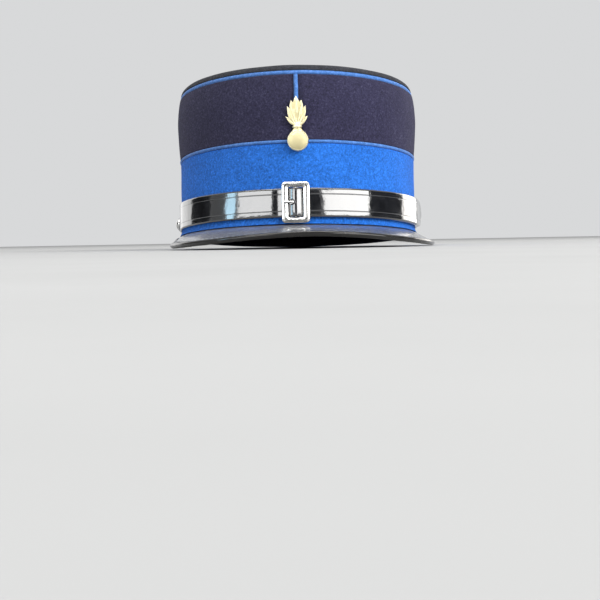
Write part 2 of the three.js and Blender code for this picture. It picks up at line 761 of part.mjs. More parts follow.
function badge() {
  const face = dome(BADGE.ballRadius, BADGE.plate / 2, BADGE.plate / 2 + BADGE.ballProud);
  const ball = new THREE.LatheGeometry([v2(0, 0), v2(BADGE.ballRadius, 0), ...face], ROUND_SIDES.ball);
  ball.rotateX(Math.PI / 2);
  const solid = joined(
    ball,
    extruded(flameShape(1), BADGE.plate),
    extruded(flameShape(BADGE.innerFlame), BADGE.plate + BADGE.relief),
    extruded(upright(COLLAR.neck, 0, BADGE.root * BADGE.tipHeight + COLLAR.height), COLLAR.thickness),
    extruded(upright(COLLAR.width, COLLAR.up, COLLAR.up + COLLAR.height), COLLAR.thickness)
  );
  const made = mesh("badge", fromSolid(solid), PALE_BRASS);
  const over = (height) => LENGTHENING + clothHalf(height) + FRONT_PIPING.radius + CLEARANCE;
  const [low, high] = [LEDGE, BADGE.middle + BADGE.tipHeight * BADGE.seated];
  const slope = (over(high) - over(low)) / (high - low);
  made.position.set(BADGE.aside, -over(low) + slope * (low - BADGE.middle), BADGE.middle);
  made.rotation.set(Math.PI / 2 + Math.atan(slope), 0, THREE.MathUtils.degToRad(BADGE.lean), "XYZ");
  return made;
}

// Assembly

const hat = new THREE.Group();
hat.add(
  crownShell(),
  crownTop(),
  topPiping(),
  frontPiping(),
  band(),
  bandPiping(),
  peak(),
  peakBinding(),
  strapLong(),
  strapShort(),
  buckleFrame(),
  buckleProng(),
  button("button_left", angleLeft),
  button("button_right", angleRight),
  badge()
);

// The hat leans back until the peak's binding and the back of the rim both touch the ground
function restingLean() {
  const backY = underBand(0) + LENGTHENING;
  const place = hat.getObjectByName("peak_binding").geometry.attributes.position;
  let steepest = 0;
  for (let i = 0; i < place.count; i++) {
    steepest = Math.max(steepest, Math.atan2(-place.getZ(i), backY - place.getY(i)));
  }
  return steepest;
}

hat.rotation.x = -restingLean();
const kepi = new THREE.Group();
kepi.add(hat);
kepi.updateMatrixWorld(true);
const box = new THREE.Box3().setFromObject(kepi, true);
const middle = box.getCenter(new THREE.Vector3());
hat.position.set(-middle.x, -middle.y, -box.min.z);

export default kepi;
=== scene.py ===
import math

import bmesh
import bpy
from bpy.props import FloatProperty, FloatVectorProperty, IntProperty, PointerProperty
from mathutils import Matrix, Vector, noise


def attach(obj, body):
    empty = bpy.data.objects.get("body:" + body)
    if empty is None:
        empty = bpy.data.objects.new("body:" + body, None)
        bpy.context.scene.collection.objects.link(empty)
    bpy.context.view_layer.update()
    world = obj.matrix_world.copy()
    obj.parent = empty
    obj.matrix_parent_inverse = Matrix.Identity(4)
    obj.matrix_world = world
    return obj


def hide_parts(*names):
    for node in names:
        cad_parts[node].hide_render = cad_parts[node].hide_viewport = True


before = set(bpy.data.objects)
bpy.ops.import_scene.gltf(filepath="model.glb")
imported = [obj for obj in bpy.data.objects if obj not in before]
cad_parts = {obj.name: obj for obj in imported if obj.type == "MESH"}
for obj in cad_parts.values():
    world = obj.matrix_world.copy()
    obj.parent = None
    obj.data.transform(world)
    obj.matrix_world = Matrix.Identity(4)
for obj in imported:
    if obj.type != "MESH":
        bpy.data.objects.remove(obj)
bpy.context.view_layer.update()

bl_info = {
    "name": "Kepi",
    "version": (1, 0, 0),
    "blender": (4, 5, 0),
    "location": "3D View > Sidebar > Kepi",
    "description": "Dresses the packed kepi in cloth, piping, patent leather and metal",
    "category": "Add Mesh",
}

# The shapes below are in millimetres, with the lower edge of the crown at z = 0 and the front
# facing -Y. SEAT carries them into the row frame, where the hat leans back on its peak.

MM = 0.001
LEAN = 0.0762498
PLACE = Vector((-2.10266, 19.59357, 7.92992))
SEAT = Matrix.Scale(MM, 4) @ Matrix.Translation(PLACE) @ Matrix.Rotation(-LEAN, 4, "X")
MERGE = 1e-4
SMOOTH_UNDER = math.radians(38)
GAP = 0.3
TURN = 2 * math.pi

# Crown

BAND_HALF = 86.5
LENGTHENING = 17.5
OVAL_CORE = 60
WALL = 2.5
BAND_HEIGHT = 54.2
BAND_THICKNESS = 1.2
FLARE = 1.6
FLARE_HEIGHT = 5
RIM_GAP = 0.4
BAND_FOLD = [(0.08, 0.8), (0.3, 0.35), (0.65, 0.08), (1, 0)]
LEDGE = 56.8
CLOTH_TOP = 99.8
SWELL = 1.85
CLOTH_SWELL = [(0, 0.15), (0.13, 0.43), (0.36, 0.78), (0.6, 1), (0.8, 0.74), (0.93, 0.38), (1, 0.05)]
NECK_HALF = 82.6
NECK_WALL = 1.5
LIP_HEIGHT = 103.2
TOP_HEIGHT = 107.1
TOP_THICKNESS = 2.6
TOP_DISH = [(76, 0.1), (68, 0.2), (56, 0.28), (42, 0.34), (28, 0.38), (14, 0.4), (0, 0.4)]
TOP_EDGE = 85.8
SHOULDER = 4
TOP_LIP = 4.4
TOP_CORD = (84.35, 101.5)
BAND_CORD = (86.0, 55.35)
SEAM_DEPTH = 1.1
SEAM_REACH = 2.6
# Extra columns beside the front seam, so that the cloth can sink there
SEAM_COLUMNS = (-3.6, -2.4, -1.2, 0.0, 1.2, 2.4, 3.6)
SEAM_MARGIN = 9
# Heights of the wall's rows: outside under the band, inside the cloth, inside the band
UNDER_ROWS = (0, 1, 2.5, 5, 20, 40, LEDGE - 1.2)
CLOTH_ROWS = (94.4, 85, 75, 65)
BAND_ROWS = (54.2, 40, 25, 10, 5, 2)
CORD_SIDES = 16

# Peak

PEAK_SIDE = 3.5
PEAK_REACH = 43.5
PEAK_BACK = 5
END_REACH = 1.8
# How far the edge has come down, by the share of the way from either end to the front. The last
# row lies past the front and levels the curve there.
PEAK_DROPS = [
    (0, 1.2), (0.1, 4.3), (0.18, 6.3), (0.3, 8.65), (0.45, 10.4),
    (0.6, 10.85), (0.73, 10.4), (0.865, 9.35), (1, 8.75), (1.135, 9.35),
]
CAMBER = 0.25
PEAK_THICKNESS = 1.6
TUCK = 3.2
PEAK_TURN = math.radians(3.2)
PEAK_OUTLINE = [(1, 0.27), (0.985, 0.42), (0.9, 0.61), (0.74, 0.77), (0.53, 0.89), (0.28, 0.97), (0, 1)]
PEAK_STEPS = 220
PEAK_ROWS = 22
NEAR_EDGE = 0.95
# How far past each end of the peak the roll goes on, and its share of the full size there
ROLL_END = [(1.6, 0.12), (1.5, 0.42), (1.3, 0.66), (1.0, 0.85), (0.5, 0.97)]
# How much bigger the roll is at its ends, and the share of its length in which it grows
ROLL_GROWTH = (0.5, 0.09)
# A stitch's half length, half width and half height, and how far its middle stands proud
STITCH_HALF = (1.55, 0.42, 0.34, 1)
STITCH_PROUD = 0.12
ROLL_SECTION = [
    (-1.95, 0.86), (-1.98, 1.12), (-1.78, 1.36), (-1.2, 1.58), (-0.5, 1.76), (0.1, 1.84), (0.6, 1.7),
    (1.02, 1.36), (1.3, 0.86), (1.43, 0.32), (1.43, -0.32), (1.3, -0.86), (1.02, -1.36), (0.6, -1.7),
    (0.1, -1.84), (-0.5, -1.76), (-1.2, -1.58), (-1.78, -1.36), (-1.98, -1.12), (-1.95, -0.86),
    (0.7, -0.86), (0.7, 0.86),
]

# Strap

STRAP_WIDTH = 19.3
STRAP_THICKNESS = 1.4
STRAP_MIDDLE = 14.3
LOW_LAYER = 1.0
HIGH_LAYER = 2.7
STRAP_STOP = 16
BLUNT_END = 0.2
STRAP_END = {"radius": 9.6, "end_y": 10.5, "flare": 0}
TAIL = {"radius": 9.6, "end_y": -7, "flare": 1.6}
FLARE_LENGTH = 16
END_ROWS = 14
CREASE_INSET = 4
CREASE_HALF = 0.3

BUCKLE_ASIDE = -1.3
BUCKLE_WIDTH = 18.5
BUCKLE_HEIGHT = 27.2
BUCKLE_OPENING = 9.9
BUCKLE_OPENING_HEIGHT = 20
BUCKLE_CORNERS = (2.6, 1)
BUCKLE_BACK = 3.9
BUCKLE_FACE = -104
BAR_OUT = 3.6
BAR_RADIUS = 0.85
EYE = 1.05
LOOP = 1.5
HUMP = 2.27
PRONG_RADIUS = 0.8
PRONG_SUNK = 0.25
PRONG_SIDES = 14
FRAME_DEPTH = 2.2
UNDER_LEFT_BAR = [(-2.2, 0), (-1.55, 0.26), (-1.0, 0.8)]
UNDER_RIGHT_BAR = [(0.97, 0.44), (1.25, 0.08), (1.9, 0)]
INTO_LOOP = [(2.1, 0), (1.1, 0), (0.7, 0.22), (0.35, 0.7), (0.08, 1)]
OVER_BAR = [122, 106, 90, 74, 58]
# The hole for the prong: where it is beside the bar, its half length and half height, its depth
HOLE_ASIDE = -2.1
HOLE_HALF = (1.9, 1.5)
HOLE_DEPTH = 1.15
HOLE_SLOPE = 2.5
# Within this of the bar the strap's face is plain, but for a margin along its edges
NEAR_BUCKLE = 6
FACE_MARGIN = 2
PLAIN_FACE = 0.05
RING_GAP = 1.6
STEP_LENGTH = 6
# Inset from the frame's outer edge and height over its back, round the frame's section
FRAME_SECTION = [
    (0.2, 0), (0, 0.25), (0, 1.15), (0.12, 1.4), (0.45, 1.62), (0.9, 1.86), (1.3, 2.04), (1.55, 2.06),
    (1.72, 1.9), (1.86, 1.5), (1.98, 1.3), (2.14, 1.3), (2.26, 1.52), (2.42, 1.92), (2.6, 2.06),
    (2.86, 2.02), (3.3, 1.78), (3.75, 1.52), (4.14, 1.26), (4.3, 1.02), (4.3, 0.25), (4.12, 0),
]

# Buttons and badge

BUTTON_PROFILE = [
    (0, -1.7), (1.5, -1.7), (1.5, 0), (4.6, 0), (4.95, 0.2), (5, 0.55), (4.85, 0.9), (4.5, 1.02),
    (4.3, 0.95), (4.15, 1.1), (3.6, 1.85), (2.8, 2.4), (1.9, 2.75), (0.95, 2.95), (0, 3.0),
]
BUTTON_BACK = 2
BUTTON_UP = 11.1
STRAP_OUT = 88.5

BADGE_MIDDLE = 55.3
BADGE_ASIDE = 0.8
BADGE_LEAN = math.radians(1.7)
BADGE_SEATED = 22.65
BADGE_OVER_SEAM = 1.5
BALL_PROFILE = [
    (0, 0), (6.8, 0), (6.98, 0.2), (7.0, 2.6), (6.94, 3.15), (6.76, 3.58), (6.5, 3.78), (6.24, 3.76),
    (5.95, 3.82), (5.3, 4.06), (4.3, 4.36), (3.0, 4.62), (1.6, 4.8), (0, 4.86),
]
PLATE = 1.2
FLAME_OUTLINE = [
    (2.4, 10.0), (3.2, 10.9), (4.5, 12.0), (5.7, 13.2), (6.6, 14.5), (7.25, 16.1), (6.3, 15.6),
    (5.4, 15.4), (5.75, 16.9), (6.05, 18.7), (6.1, 20.6), (6.2, 22.9), (5.3, 22.0), (4.5, 21.3),
    (4.45, 22.8), (4.1, 24.7), (3.5, 26.8), (2.8, 25.8), (2.2, 25.1), (1.7, 26.4), (0.9, 28.0),
    (0, 29.6),
]
# Each tongue: where it starts, the point that it bends towards, its tip, its widest half width,
# and how far it stands over the plate
TONGUES = [
    ((1.4, 10.4), (5.4, 12.2), (7.0, 15.8), 0.95, 0.3),
    ((1.7, 11.8), (5.7, 15.6), (6.05, 22.6), 1.2, 0.36),
    ((1.3, 14.6), (4.1, 20.0), (3.4, 26.5), 1.15, 0.42),
    ((1.5, 11.2), (3.8, 14.6), (4.0, 19.8), 0.75, 0.5),
    ((0.7, 11.6), (2.2, 16.0), (1.8, 22.0), 0.72, 0.58),
]
MIDDLE_TONGUES = [
    ((0, 18.4), (0.3, 23), (0, 29.3), 1.15, 0.5),
    ((0, 10.6), (-0.3, 13.6), (0.1, 16.8), 0.8, 0.64),
]
# Up the stem: height over the ball's middle, half width, and how far it stands out
NECK_ROWS = [
    (5.3, 5.1, 2.6), (6.2, 4.1, 2.5), (7.1, 3.3, 2.4), (7.9, 2.75, 2.35), (8.4, 2.65, 2.4),
    (8.6, 3.05, 2.7), (9.1, 3.25, 2.9), (9.6, 3.2, 2.85), (9.85, 2.9, 2.6), (10.0, 2.5, 2.2),
    (10.8, 2.7, 1.9), (11.8, 3.0, 1.5),
]
NECK_SIDES = 15


def length(label, description, default):
    return FloatProperty(
        name=label, description=description, default=default, subtype="DISTANCE", unit="LENGTH"
    )


def angle_of(label, description, degrees):
    return FloatProperty(
        name=label, description=description, default=math.radians(degrees),
        subtype="ANGLE", unit="ROTATION",
    )


def colour(label, description, default):
    return FloatVectorProperty(
        name=label, description=description, default=default, size=3, min=0, max=1, subtype="COLOR"
    )


class KepiSizes(bpy.types.PropertyGroup):
    """Sizes of the finer details that a maker may want to change"""

    around: IntProperty(
        name="Steps around", description="How many steps go round the crown", default=288, min=48
    )
    top_piping: length("Top piping", "Radius of the cord under the crown's top", 1.72 * MM)
    front_piping: length("Front piping", "Radius of the cord up the front seam", 1.42 * MM)
    band_piping: length("Band piping", "Radius of the cord along the top of the band", 1.1 * MM)
    stitch_pitch: length("Stitch pitch", "From one stitch to the next on the peak", 4.7 * MM)
    stitch_inset: length("Stitch inset", "From the peak's edge in to the stitches", 3.6 * MM)
    crease_depth: length("Crease depth", "Depth of the lines pressed along the strap", 0.025 * MM)
    unevenness: length("Unevenness", "How far the cloth wanders off a true surface", 0.22 * MM)


class KepiColours(bpy.types.PropertyGroup):
    """Base colours of the finishes"""

    navy: colour("Navy cloth", "Wool of the crown's side", (0.026, 0.024, 0.056))
    black: colour("Black cloth", "Wool of the crown's top", (0.030, 0.031, 0.037))
    blue: colour("Blue cloth", "Wool of the band", (0.016, 0.132, 0.53))
    piping: colour("Piping", "Cloth-covered cords", (0.046, 0.17, 0.50))
    leather: colour("Leather", "Patent leather", (0.007, 0.0075, 0.009))
    edge: colour("Bound edge", "Rolled edge of the peak", (0.008, 0.0075, 0.007))
    nickel: colour("Nickel", "Buckle and buttons", (0.66, 0.66, 0.65))
    brass: colour("Pale brass", "Badge", (0.68, 0.61, 0.36))
    thread: colour("Thread", "Stitching", (0.30, 0.31, 0.33))


class KepiStudio(bpy.types.PropertyGroup):
    """Camera and lights"""

    distance: length("Distance", "From the camera to the crown's middle", 0.9)
    height: length("Height", "Height of the camera over the floor", 0.005)
    aside: length("Aside", "How far the camera stands to the right", -0.0011)
    lens: FloatProperty(name="Lens", description="Focal length in millimetres", default=72.1)
    down: angle_of("Downward tilt", "How far the camera looks down", 2.82)
    roll: angle_of("Roll", "How far the camera is turned about its own axis", 1.03)
    surroundings: FloatProperty(
        name="Surroundings", description="Strength of the even light all round", default=0.70, min=0
    )
    floor: colour("Floor", "Plain floor", (0.46, 0.46, 0.455))


def sizes():
    return bpy.context.scene.kepi_sizes


def colours():
    return bpy.context.scene.kepi_colours


# Paths and curves


def oval(half, angle):
    return Vector((half * math.cos(angle), (half + LENGTHENING) * math.sin(angle), 0))


def cubic(first, last, leaving, arriving, share):
    """Between two values, on a curve with these slopes where it leaves and where it arrives"""
    t2, t3 = share**2, share**3
    return (
        first * (2 * t3 - 3 * t2 + 1) + leaving * (t3 - 2 * t2 + share)
        + last * (3 * t2 - 2 * t3) + arriving * (t3 - t2)
    )


def slopes(four, gaps):
    """Slopes of a smooth curve at the second and third of four values"""
    a, b, c, d = four
    before, here, after = gaps
    leaving = (b - a) / before - (c - a) / (before + here) + (c - b) / here
    arriving = (c - b) / here - (d - b) / (here + after) + (d - c) / after
    return leaving * here, arriving * here


def smooth_path(points, parts, even=False):
    """Points of a smooth curve through the given points, parts of them to each span"""
    ends = [2 * points[0] - points[1], *points, 2 * points[-1] - points[-2]]
    made = []
    for four in zip(ends, ends[1:], ends[2:], ends[3:]):
        gaps = [1.0 if even else math.sqrt((q - p).length) for p, q in zip(four, four[1:])]
        made += [cubic(four[1], four[2], *slopes(four, gaps), k / parts) for k in range(parts)]
    return [*made, points[-1].copy()]


def way_at(path, i):
    """The way that a path runs at one of its points"""
    return (path[min(i + 1, len(path) - 1)] - path[max(i - 1, 0)]).normalized()


def right_of(way):
    return Vector((way.y, -way.x, 0))


def spaced(points, count):
    """The same path again, as count + 1 points an even way apart"""
    reach = [0.0]
    for p, q in zip(points, points[1:]):
        reach.append(reach[-1] + (q - p).length)
    made, k = [], 0
    for i in range(count + 1):
        want = reach[-1] * i / count
        while k < len(reach) - 2 and reach[k + 1] < want:
            k += 1
        made.append(points[k].lerp(points[k + 1], (want - reach[k]) / (reach[k + 1] - reach[k])))
    return made


def eased(rows, value):
    """Reads a table of pairs at a value, with a smooth curve between the rows"""
    for i, ((low, first), (high, last)) in enumerate(zip(rows, rows[1:])):
        if value <= high or i == len(rows) - 2:
            before = rows[i - 1][1] if i else 2 * first - last
            after = rows[i + 2][1] if i + 2 < len(rows) else 2 * last - first
            share = min(1, max(0, (value - low) / (high - low)))
            return cubic(first, last, (last - before) / 2, (after - first) / 2, share)


# Meshes


def spun(profile, steps, loop=False):
    """A profile of half widths and heights, spun about the upright axis"""
    bm = bmesh.new()
    verts = [bm.verts.new((half, 0, height)) for half, height in profile]
    edges = [bm.edges.new(pair) for pair in zip(verts, verts[1:] + (verts[:1] if loop else []))]
    bmesh.ops.spin(
        bm, geom=verts + edges, cent=(0, 0, 0), axis=(0, 0, 1), dvec=(0, 0, 0),
        angle=TURN, steps=steps, use_merge=True,
    )
    bmesh.ops.remove_doubles(bm, verts=bm.verts, dist=MERGE)
    return bm


def ovalled(bm):
    """Lengthens a round body into the crown's oval"""
    for vert in bm.verts:
        half = max(math.hypot(vert.co.x, vert.co.y), OVAL_CORE)
        vert.co.y *= (half + LENGTHENING) / half
    return bm


def shaped(rows, columns, place, loop_rows=False, loop_columns=False):
    """A grid whose points go where place(row, column) says, closed where it meets itself"""
    bm = bmesh.new()
    along = rows if loop_rows else rows - 1
    across = columns if loop_columns else columns - 1
    bmesh.ops.create_grid(bm, x_segments=along, y_segments=across, size=0.5)
    for vert in bm.verts:
        row = round((vert.co.x + 0.5) * along) % rows
        column = round((vert.co.y + 0.5) * across) % columns
        vert.co = place(row, column)
    bmesh.ops.remove_doubles(bm, verts=bm.verts, dist=MERGE)
    open_edges = [edge for edge in bm.edges if edge.is_boundary]
    if open_edges:
        bmesh.ops.holes_fill(bm, edges=open_edges, sides=0)
    return bm


def uneven(bm, depth, grain, seed):
    """Moves a surface in and out a little, as worn cloth and leather lie"""
    bmesh.ops.recalc_face_normals(bm, faces=bm.faces)
    bm.normal_update()
    start = Vector((seed, 2 * seed, -seed))
    for vert in bm.verts:
        vert.co += vert.normal * depth * noise.noise(vert.co / grain + start)
    return bm


def merged(*parts):
    """Several bmeshes as one"""
    whole = bmesh.new()
    for part in parts:
        mesh = bpy.data.meshes.new("part")
        part.to_mesh(mesh)
        part.free()
        whole.from_mesh(mesh)
        bpy.data.meshes.remove(mesh)
    return whole


def placed(name, bm, material):
    """An object at the world's origin, of a bmesh and a material"""
    mesh = bpy.data.meshes.new(name)
    bm.to_mesh(mesh)
    bm.free()
    mesh.materials.append(material)
    made = bpy.data.objects.new(name, mesh)
    bpy.context.scene.collection.objects.link(made)
    return made


def piece(name, bm, material, nodes=()):
    """Makes a finished piece of a bmesh: it goes to its place, rides on the hat and stands for
    the CAD nodes"""
    bmesh.ops.transform(bm, matrix=SEAT, verts=bm.verts)
    bmesh.ops.recalc_face_normals(bm, faces=bm.faces)
    for face in bm.faces:
        face.smooth = True
    for edge in bm.edges:
        edge.smooth = edge.calc_face_angle(0) < SMOOTH_UNDER
    made = placed(name, bm, material)
    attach(made, "root")
    if nodes:
        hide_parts(*nodes)


# Finishes


class Finish:
    """A node material in the making, on a piece's Object coordinates"""

    def __init__(self, name, tint, **sockets):
        self.material = bpy.data.materials.new(name)
        self.material.use_nodes = True
        self.nodes = self.material.node_tree.nodes
        self.links = self.material.node_tree.links
        self.shader = self.nodes["Principled BSDF"]
        self.shader.inputs["Base Color"].default_value = (*tint, 1)
        self.where = self.nodes.new("ShaderNodeTexCoord").outputs["Object"]
        for socket, value in sockets.items():
            self.shader.inputs[socket.replace("_", " ")].default_value = value

    def node(self, kind, inputs=(), **settings):
        made = self.nodes.new(kind)
        for setting, value in settings.items():
            setattr(made, setting, value)
        for socket, value in dict(inputs).items():
            if isinstance(value, bpy.types.NodeSocket):
                self.links.new(value, made.inputs[socket])
            else:
                made.inputs[socket].default_value = value
        return made.outputs[0]

    def stretched(self, scale, turn=(0, 0, 0)):
        return self.node("ShaderNodeMapping", {"Vector": self.where, "Scale": scale, "Rotation": turn})

    def noise(self, size, detail=3, rough=0.5, distortion=0, where=None):
        """Noise whose blotches are about size millimetres across"""
        return self.node("ShaderNodeTexNoise", {
            "Vector": where or self.where, "Scale": 1 / (size * MM), "Detail": detail,
            "Roughness": rough, "Distortion": distortion,
        })

    def cells(self, size, feature="DISTANCE_TO_EDGE"):
        inputs = {"Vector": self.where, "Scale": 1 / (size * MM)}
        return self.node("ShaderNodeTexVoronoi", inputs, feature=feature)

    def sum(self, *shares):
        """A weighted sum of several textures"""
        total = None
        for texture, weight in shares:
            part = self.node("ShaderNodeMath", {0: texture, 1: weight}, operation="MULTIPLY")
            total = part if total is None else self.node("ShaderNodeMath", {0: total, 1: part})
        return total

    def ramp(self, value, low, high, first, last):
        """Runs from one value to another as the texture goes from low to high"""
        return self.node("ShaderNodeMapRange", {
            "Value": value, "From Min": low, "From Max": high, "To Min": first, "To Max": last,
        })

    def shades(self, value, stops):
        """A colour for each of several values of the texture"""
        made = self.nodes.new("ShaderNodeValToRGB")
        elements = made.color_ramp.elements
        while len(elements) < len(stops):
            elements.new(0.5)
        for element, (position, tint) in zip(elements, stops):
            element.position = position
            element.color = (*tint, 1)
        self.links.new(value, made.inputs["Fac"])
        return made.outputs["Color"]

    def relief(self, *layers):
        """Relief of several layers: each a texture, its depth in millimetres and its strength"""
        under = {}
        for height, depth, strength in layers:
            inputs = {"Height": height, "Distance": depth * MM, "Strength": strength}
            under = {"Normal": self.node("ShaderNodeBump", {**inputs, **under})}
        return under["Normal"]

    def use(self, **outputs):
        for socket, value in outputs.items():
            self.links.new(value, self.shader.inputs[socket.replace("_", " ")])
        return self.material


def scaled(tint, factor):
    return tuple(min(1.0, value * factor) for value in tint)


def mixed(first, second, share):
    return tuple(a + (b - a) * share for a, b in zip(first, second))


def known(name, make, *values):
    """The finish of this name, made where it isn't there yet"""
    return bpy.data.materials.get(name) or make(name, *values)


def felt(name, tint, lint=0.0):
    """Milled wool: blotches of wear, a mottled nap and short fibres that lie all ways"""
    made = Finish(
        name, tint, Roughness=0.95, Specular_IOR_Level=0.2, Sheen_Weight=0.15, Sheen_Roughness=0.45,
        Sheen_Tint=(*mixed(tint, (0.5, 0.5, 0.55), 0.35), 1),
    )
    wear = made.noise(42, 3)
    mottle = made.noise(3.4, 4, 0.6)
    fibres = made.noise(0.75, 5, 0.7, 1.6)
    short = made.noise(0.5, 3, 0.6, 0.8, made.stretched((0.45, 0.45, 1.5), (0.3, 0.4, 0.2)))
    flecks = made.noise(1.25, 2, 0.6, 0.4)
    cloth = made.sum((wear, 0.10), (mottle, 0.12), (fibres, 0.26), (short, 0.14), (flecks, 0.38))
    tones = made.shades(cloth, [
        (0.38, scaled(tint, 0.42)), (0.46, scaled(tint, 0.82)), (0.53, scaled(tint, 1.18)),
        (0.62, mixed(scaled(tint, 1.75), (0.4, 0.4, 0.44), 0.03 + lint)),
    ])
    relief = made.relief((mottle, 0.5, 0.5), (fibres, 0.35, 0.75))
    return made.use(Base_Color=tones, Normal=relief)


def cord_cloth(name):
    """Thin wool drawn tight over a cord"""
    tint = colours().piping
    made = Finish(name, tint, Roughness=0.85, Sheen_Weight=0.35, Sheen_Roughness=0.4,
                  Sheen_Tint=(0.5, 0.62, 0.9, 1))
    fibres = made.noise(0.6, 4, 0.7, 1.2)
    puckers = made.noise(2.2, 3, 0.6)
    blend = made.sum((fibres, 0.5), (puckers, 0.5))
    tones = made.shades(blend, [
        (0.35, scaled(tint, 0.6)), (0.5, tint), (0.66, mixed(scaled(tint, 1.4), (0.6, 0.7, 0.9), 0.12)),
    ])
    relief = made.relief((puckers, 0.4, 0.6), (fibres, 0.25, 0.7))
    return made.use(Base_Color=tones, Normal=relief)


def patent(name):
    """Lacquered leather: a deep black with a wet coat, fingerprints and a faint orange peel"""
    tint = colours().leather
    made = Finish(name, tint, Coat_Weight=1.0, Coat_Roughness=0.035, Coat_IOR=1.7, IOR=1.6)
    smudges = made.noise(14, 4, 0.6, 0.6)
    grain = made.noise(0.9, 3, 0.5)
    swell = made.noise(6.5, 2, 0.4)
    rough = made.ramp(smudges, 0.35, 0.7, 0.06, 0.2)
    tones = made.shades(smudges, [(0.35, tint), (0.65, scaled(tint, 2.2))])
    relief = made.relief((swell, 0.30, 0.45), (grain, 0.05, 0.35))
    return made.use(Base_Color=tones, Roughness=rough, Normal=relief, Coat_Normal=relief)


def crackled(name):
    """The peak's lacquer, fine cracks all over it, painted light grey along the cracks and dark grey
    between them: partly the crackle's own colour, partly painted reflection that lightens the peak
    """
    tint = colours().leather
    made = Finish(name, tint, Coat_Weight=1.0, Coat_Roughness=0.05, Coat_IOR=1.8, IOR=1.6,
                  Sheen_Weight=0.3, Sheen_Roughness=0.25, Sheen_Tint=(0.9, 0.9, 0.92, 1))
    wander = made.noise(5, 3, 0.6)
    cracks = made.cells(1.5)
    fine = made.cells(0.8)
    grain = made.noise(0.45, 4, 0.65)
    open_cracks = made.ramp(cracks, 0.0, 0.08, 0.0, 1.0)
    fine_cracks = made.ramp(fine, 0.0, 0.12, 0.0, 1.0)
    rough = made.ramp(wander, 0.3, 0.7, 0.28, 0.48)
    # Light grey along the cracks and dark grey lacquer between them: partly the crackle's own colour,
    # partly painted reflection that lightens the peak
    tones = made.shades(made.sum((open_cracks, 0.6), (wander, 0.4)), [
        (0.1, (0.15, 0.15, 0.155)), (0.45, (0.045, 0.045, 0.048)), (0.9, scaled(tint, 2)),
    ])
    waves = (wander, 0.4, 0.25)
    coat = made.relief(waves, (open_cracks, 0.10, 0.35))
    relief = made.relief(
        waves, (open_cracks, 0.3, 0.8), (fine_cracks, 0.18, 0.8), (grain, 0.16, 0.6)
    )
    return made.use(Base_Color=tones, Roughness=rough, Normal=relief, Coat_Normal=coat)


def bound_leather(name):
    """Leather rolled round the peak's edge, worn paler where it is rubbed"""
    tint = colours().edge
    made = Finish(name, tint, Coat_Weight=0.6, Coat_Roughness=0.06, Coat_IOR=1.42, IOR=1.3)
    pores = made.cells(0.9, "F1")
    grain = made.noise(0.6, 2, 0.5)
    wear = made.noise(9, 4, 0.65)
    tones = made.shades(made.sum((wear, 0.7), (grain, 0.3)), [
        (0.35, tint), (0.55, scaled(tint, 1.5)),
        (0.72, mixed(scaled(tint, 2), (0.2, 0.17, 0.14), 0.06)),
    ])
    rough = made.ramp(wear, 0.3, 0.7, 0.16, 0.32)
    relief = made.relief((made.sum((pores, 0.5), (grain, 0.5)), 0.06, 0.35))
    return made.use(Base_Color=tones, Roughness=rough, Normal=relief, Coat_Normal=relief)


def nickel(name):
    """Nickel plate, polished and a little scratched and dulled by handling"""
    tint = colours().nickel
    made = Finish(name, tint, Metallic=1.0)
    haze = made.noise(4, 4, 0.65)
    scratches = made.noise(0.5, 3, 0.6, 0, made.stretched((1, 1, 0.09), (0.3, 0.5, 0.1)))
    pits = made.noise(0.6, 3, 0.6)
    tones = made.shades(haze, [
        (0.3, scaled(tint, 0.78)), (0.5, tint), (0.7, mixed(tint, (0.9, 0.85, 0.74), 0.4)),
    ])
    rough = made.ramp(made.sum((haze, 0.6), (scratches, 0.4)), 0.35, 0.68, 0.08, 0.26)
    relief = made.relief((made.sum((scratches, 0.6), (pits, 0.4)), 0.03, 0.5))
    return made.use(Base_Color=tones, Roughness=rough, Normal=relief)


def pale_brass(name):
    """Stamped brass, paler on what stands proud, with painted shade darkening its hollows"""
    tint = colours().brass
    made = Finish(name, tint, Metallic=1.0)
    haze = made.noise(3.2, 4, 0.65)
    grit = made.noise(0.45, 4, 0.65)
    # Painted shade: pointiness darkens the hollows and leaves what stands proud pale
    heights = made.nodes.new("ShaderNodeNewGeometry").outputs["Pointiness"]
    painted_hollow_shade = made.ramp(heights, 0.44, 0.53, 0.0, 1.0)
    tones = made.shades(made.sum((painted_hollow_shade, 0.65), (haze, 0.35)), [
        (0.15, scaled(tint, 0.32)), (0.42, scaled(tint, 0.8)), (0.7, tint),
        (0.92, mixed(tint, (0.98, 0.95, 0.86), 0.6)),
    ])
    rough = made.ramp(made.sum((haze, 0.6), (grit, 0.4)), 0.3, 0.7, 0.46, 0.64)
    relief = made.relief((grit, 0.06, 0.6))
    return made.use(Base_Color=tones, Roughness=rough, Normal=relief)


def thread(name):
    """Waxed linen thread, its plies just showing"""
    tint = colours().thread
    made = Finish(name, tint, Roughness=0.6, Sheen_Weight=0.2)
    plies = made.node("ShaderNodeTexWave", {"Vector": made.where, "Scale": 900.0, "Distortion": 1.0})
    fuzz = made.noise(0.3, 3)
    tones = made.shades(made.sum((plies, 0.4), (fuzz, 0.6)), [
        (0.2, scaled(tint, 0.5)), (0.7, scaled(tint, 1.2)),
    ])
    return made.use(Base_Color=tones, Normal=made.relief((plies, 0.08, 0.6)))


def floor_paint(name):
    """Even matt paint with the faintest clouding"""
    tint = bpy.context.scene.kepi_studio.floor
    made = Finish(name, tint, Roughness=1.0, Specular_IOR_Level=0.1)
    tones = made.shades(made.noise(90, 4, 0.6), [(0.3, scaled(tint, 0.97)), (0.7, scaled(tint, 1.03))])
    return made.use(Base_Color=tones)


# Crown


def band_half(height):
    low = max(0.0, 1 - height / FLARE_HEIGHT)
    return BAND_HALF + FLARE * low * low


def cloth_half(height):
    return BAND_HALF + SWELL * eased(CLOTH_SWELL, (height - LEDGE) / (CLOTH_TOP - LEDGE))


def under_band(height):
    return band_half(height) - BAND_THICKNESS - GAP


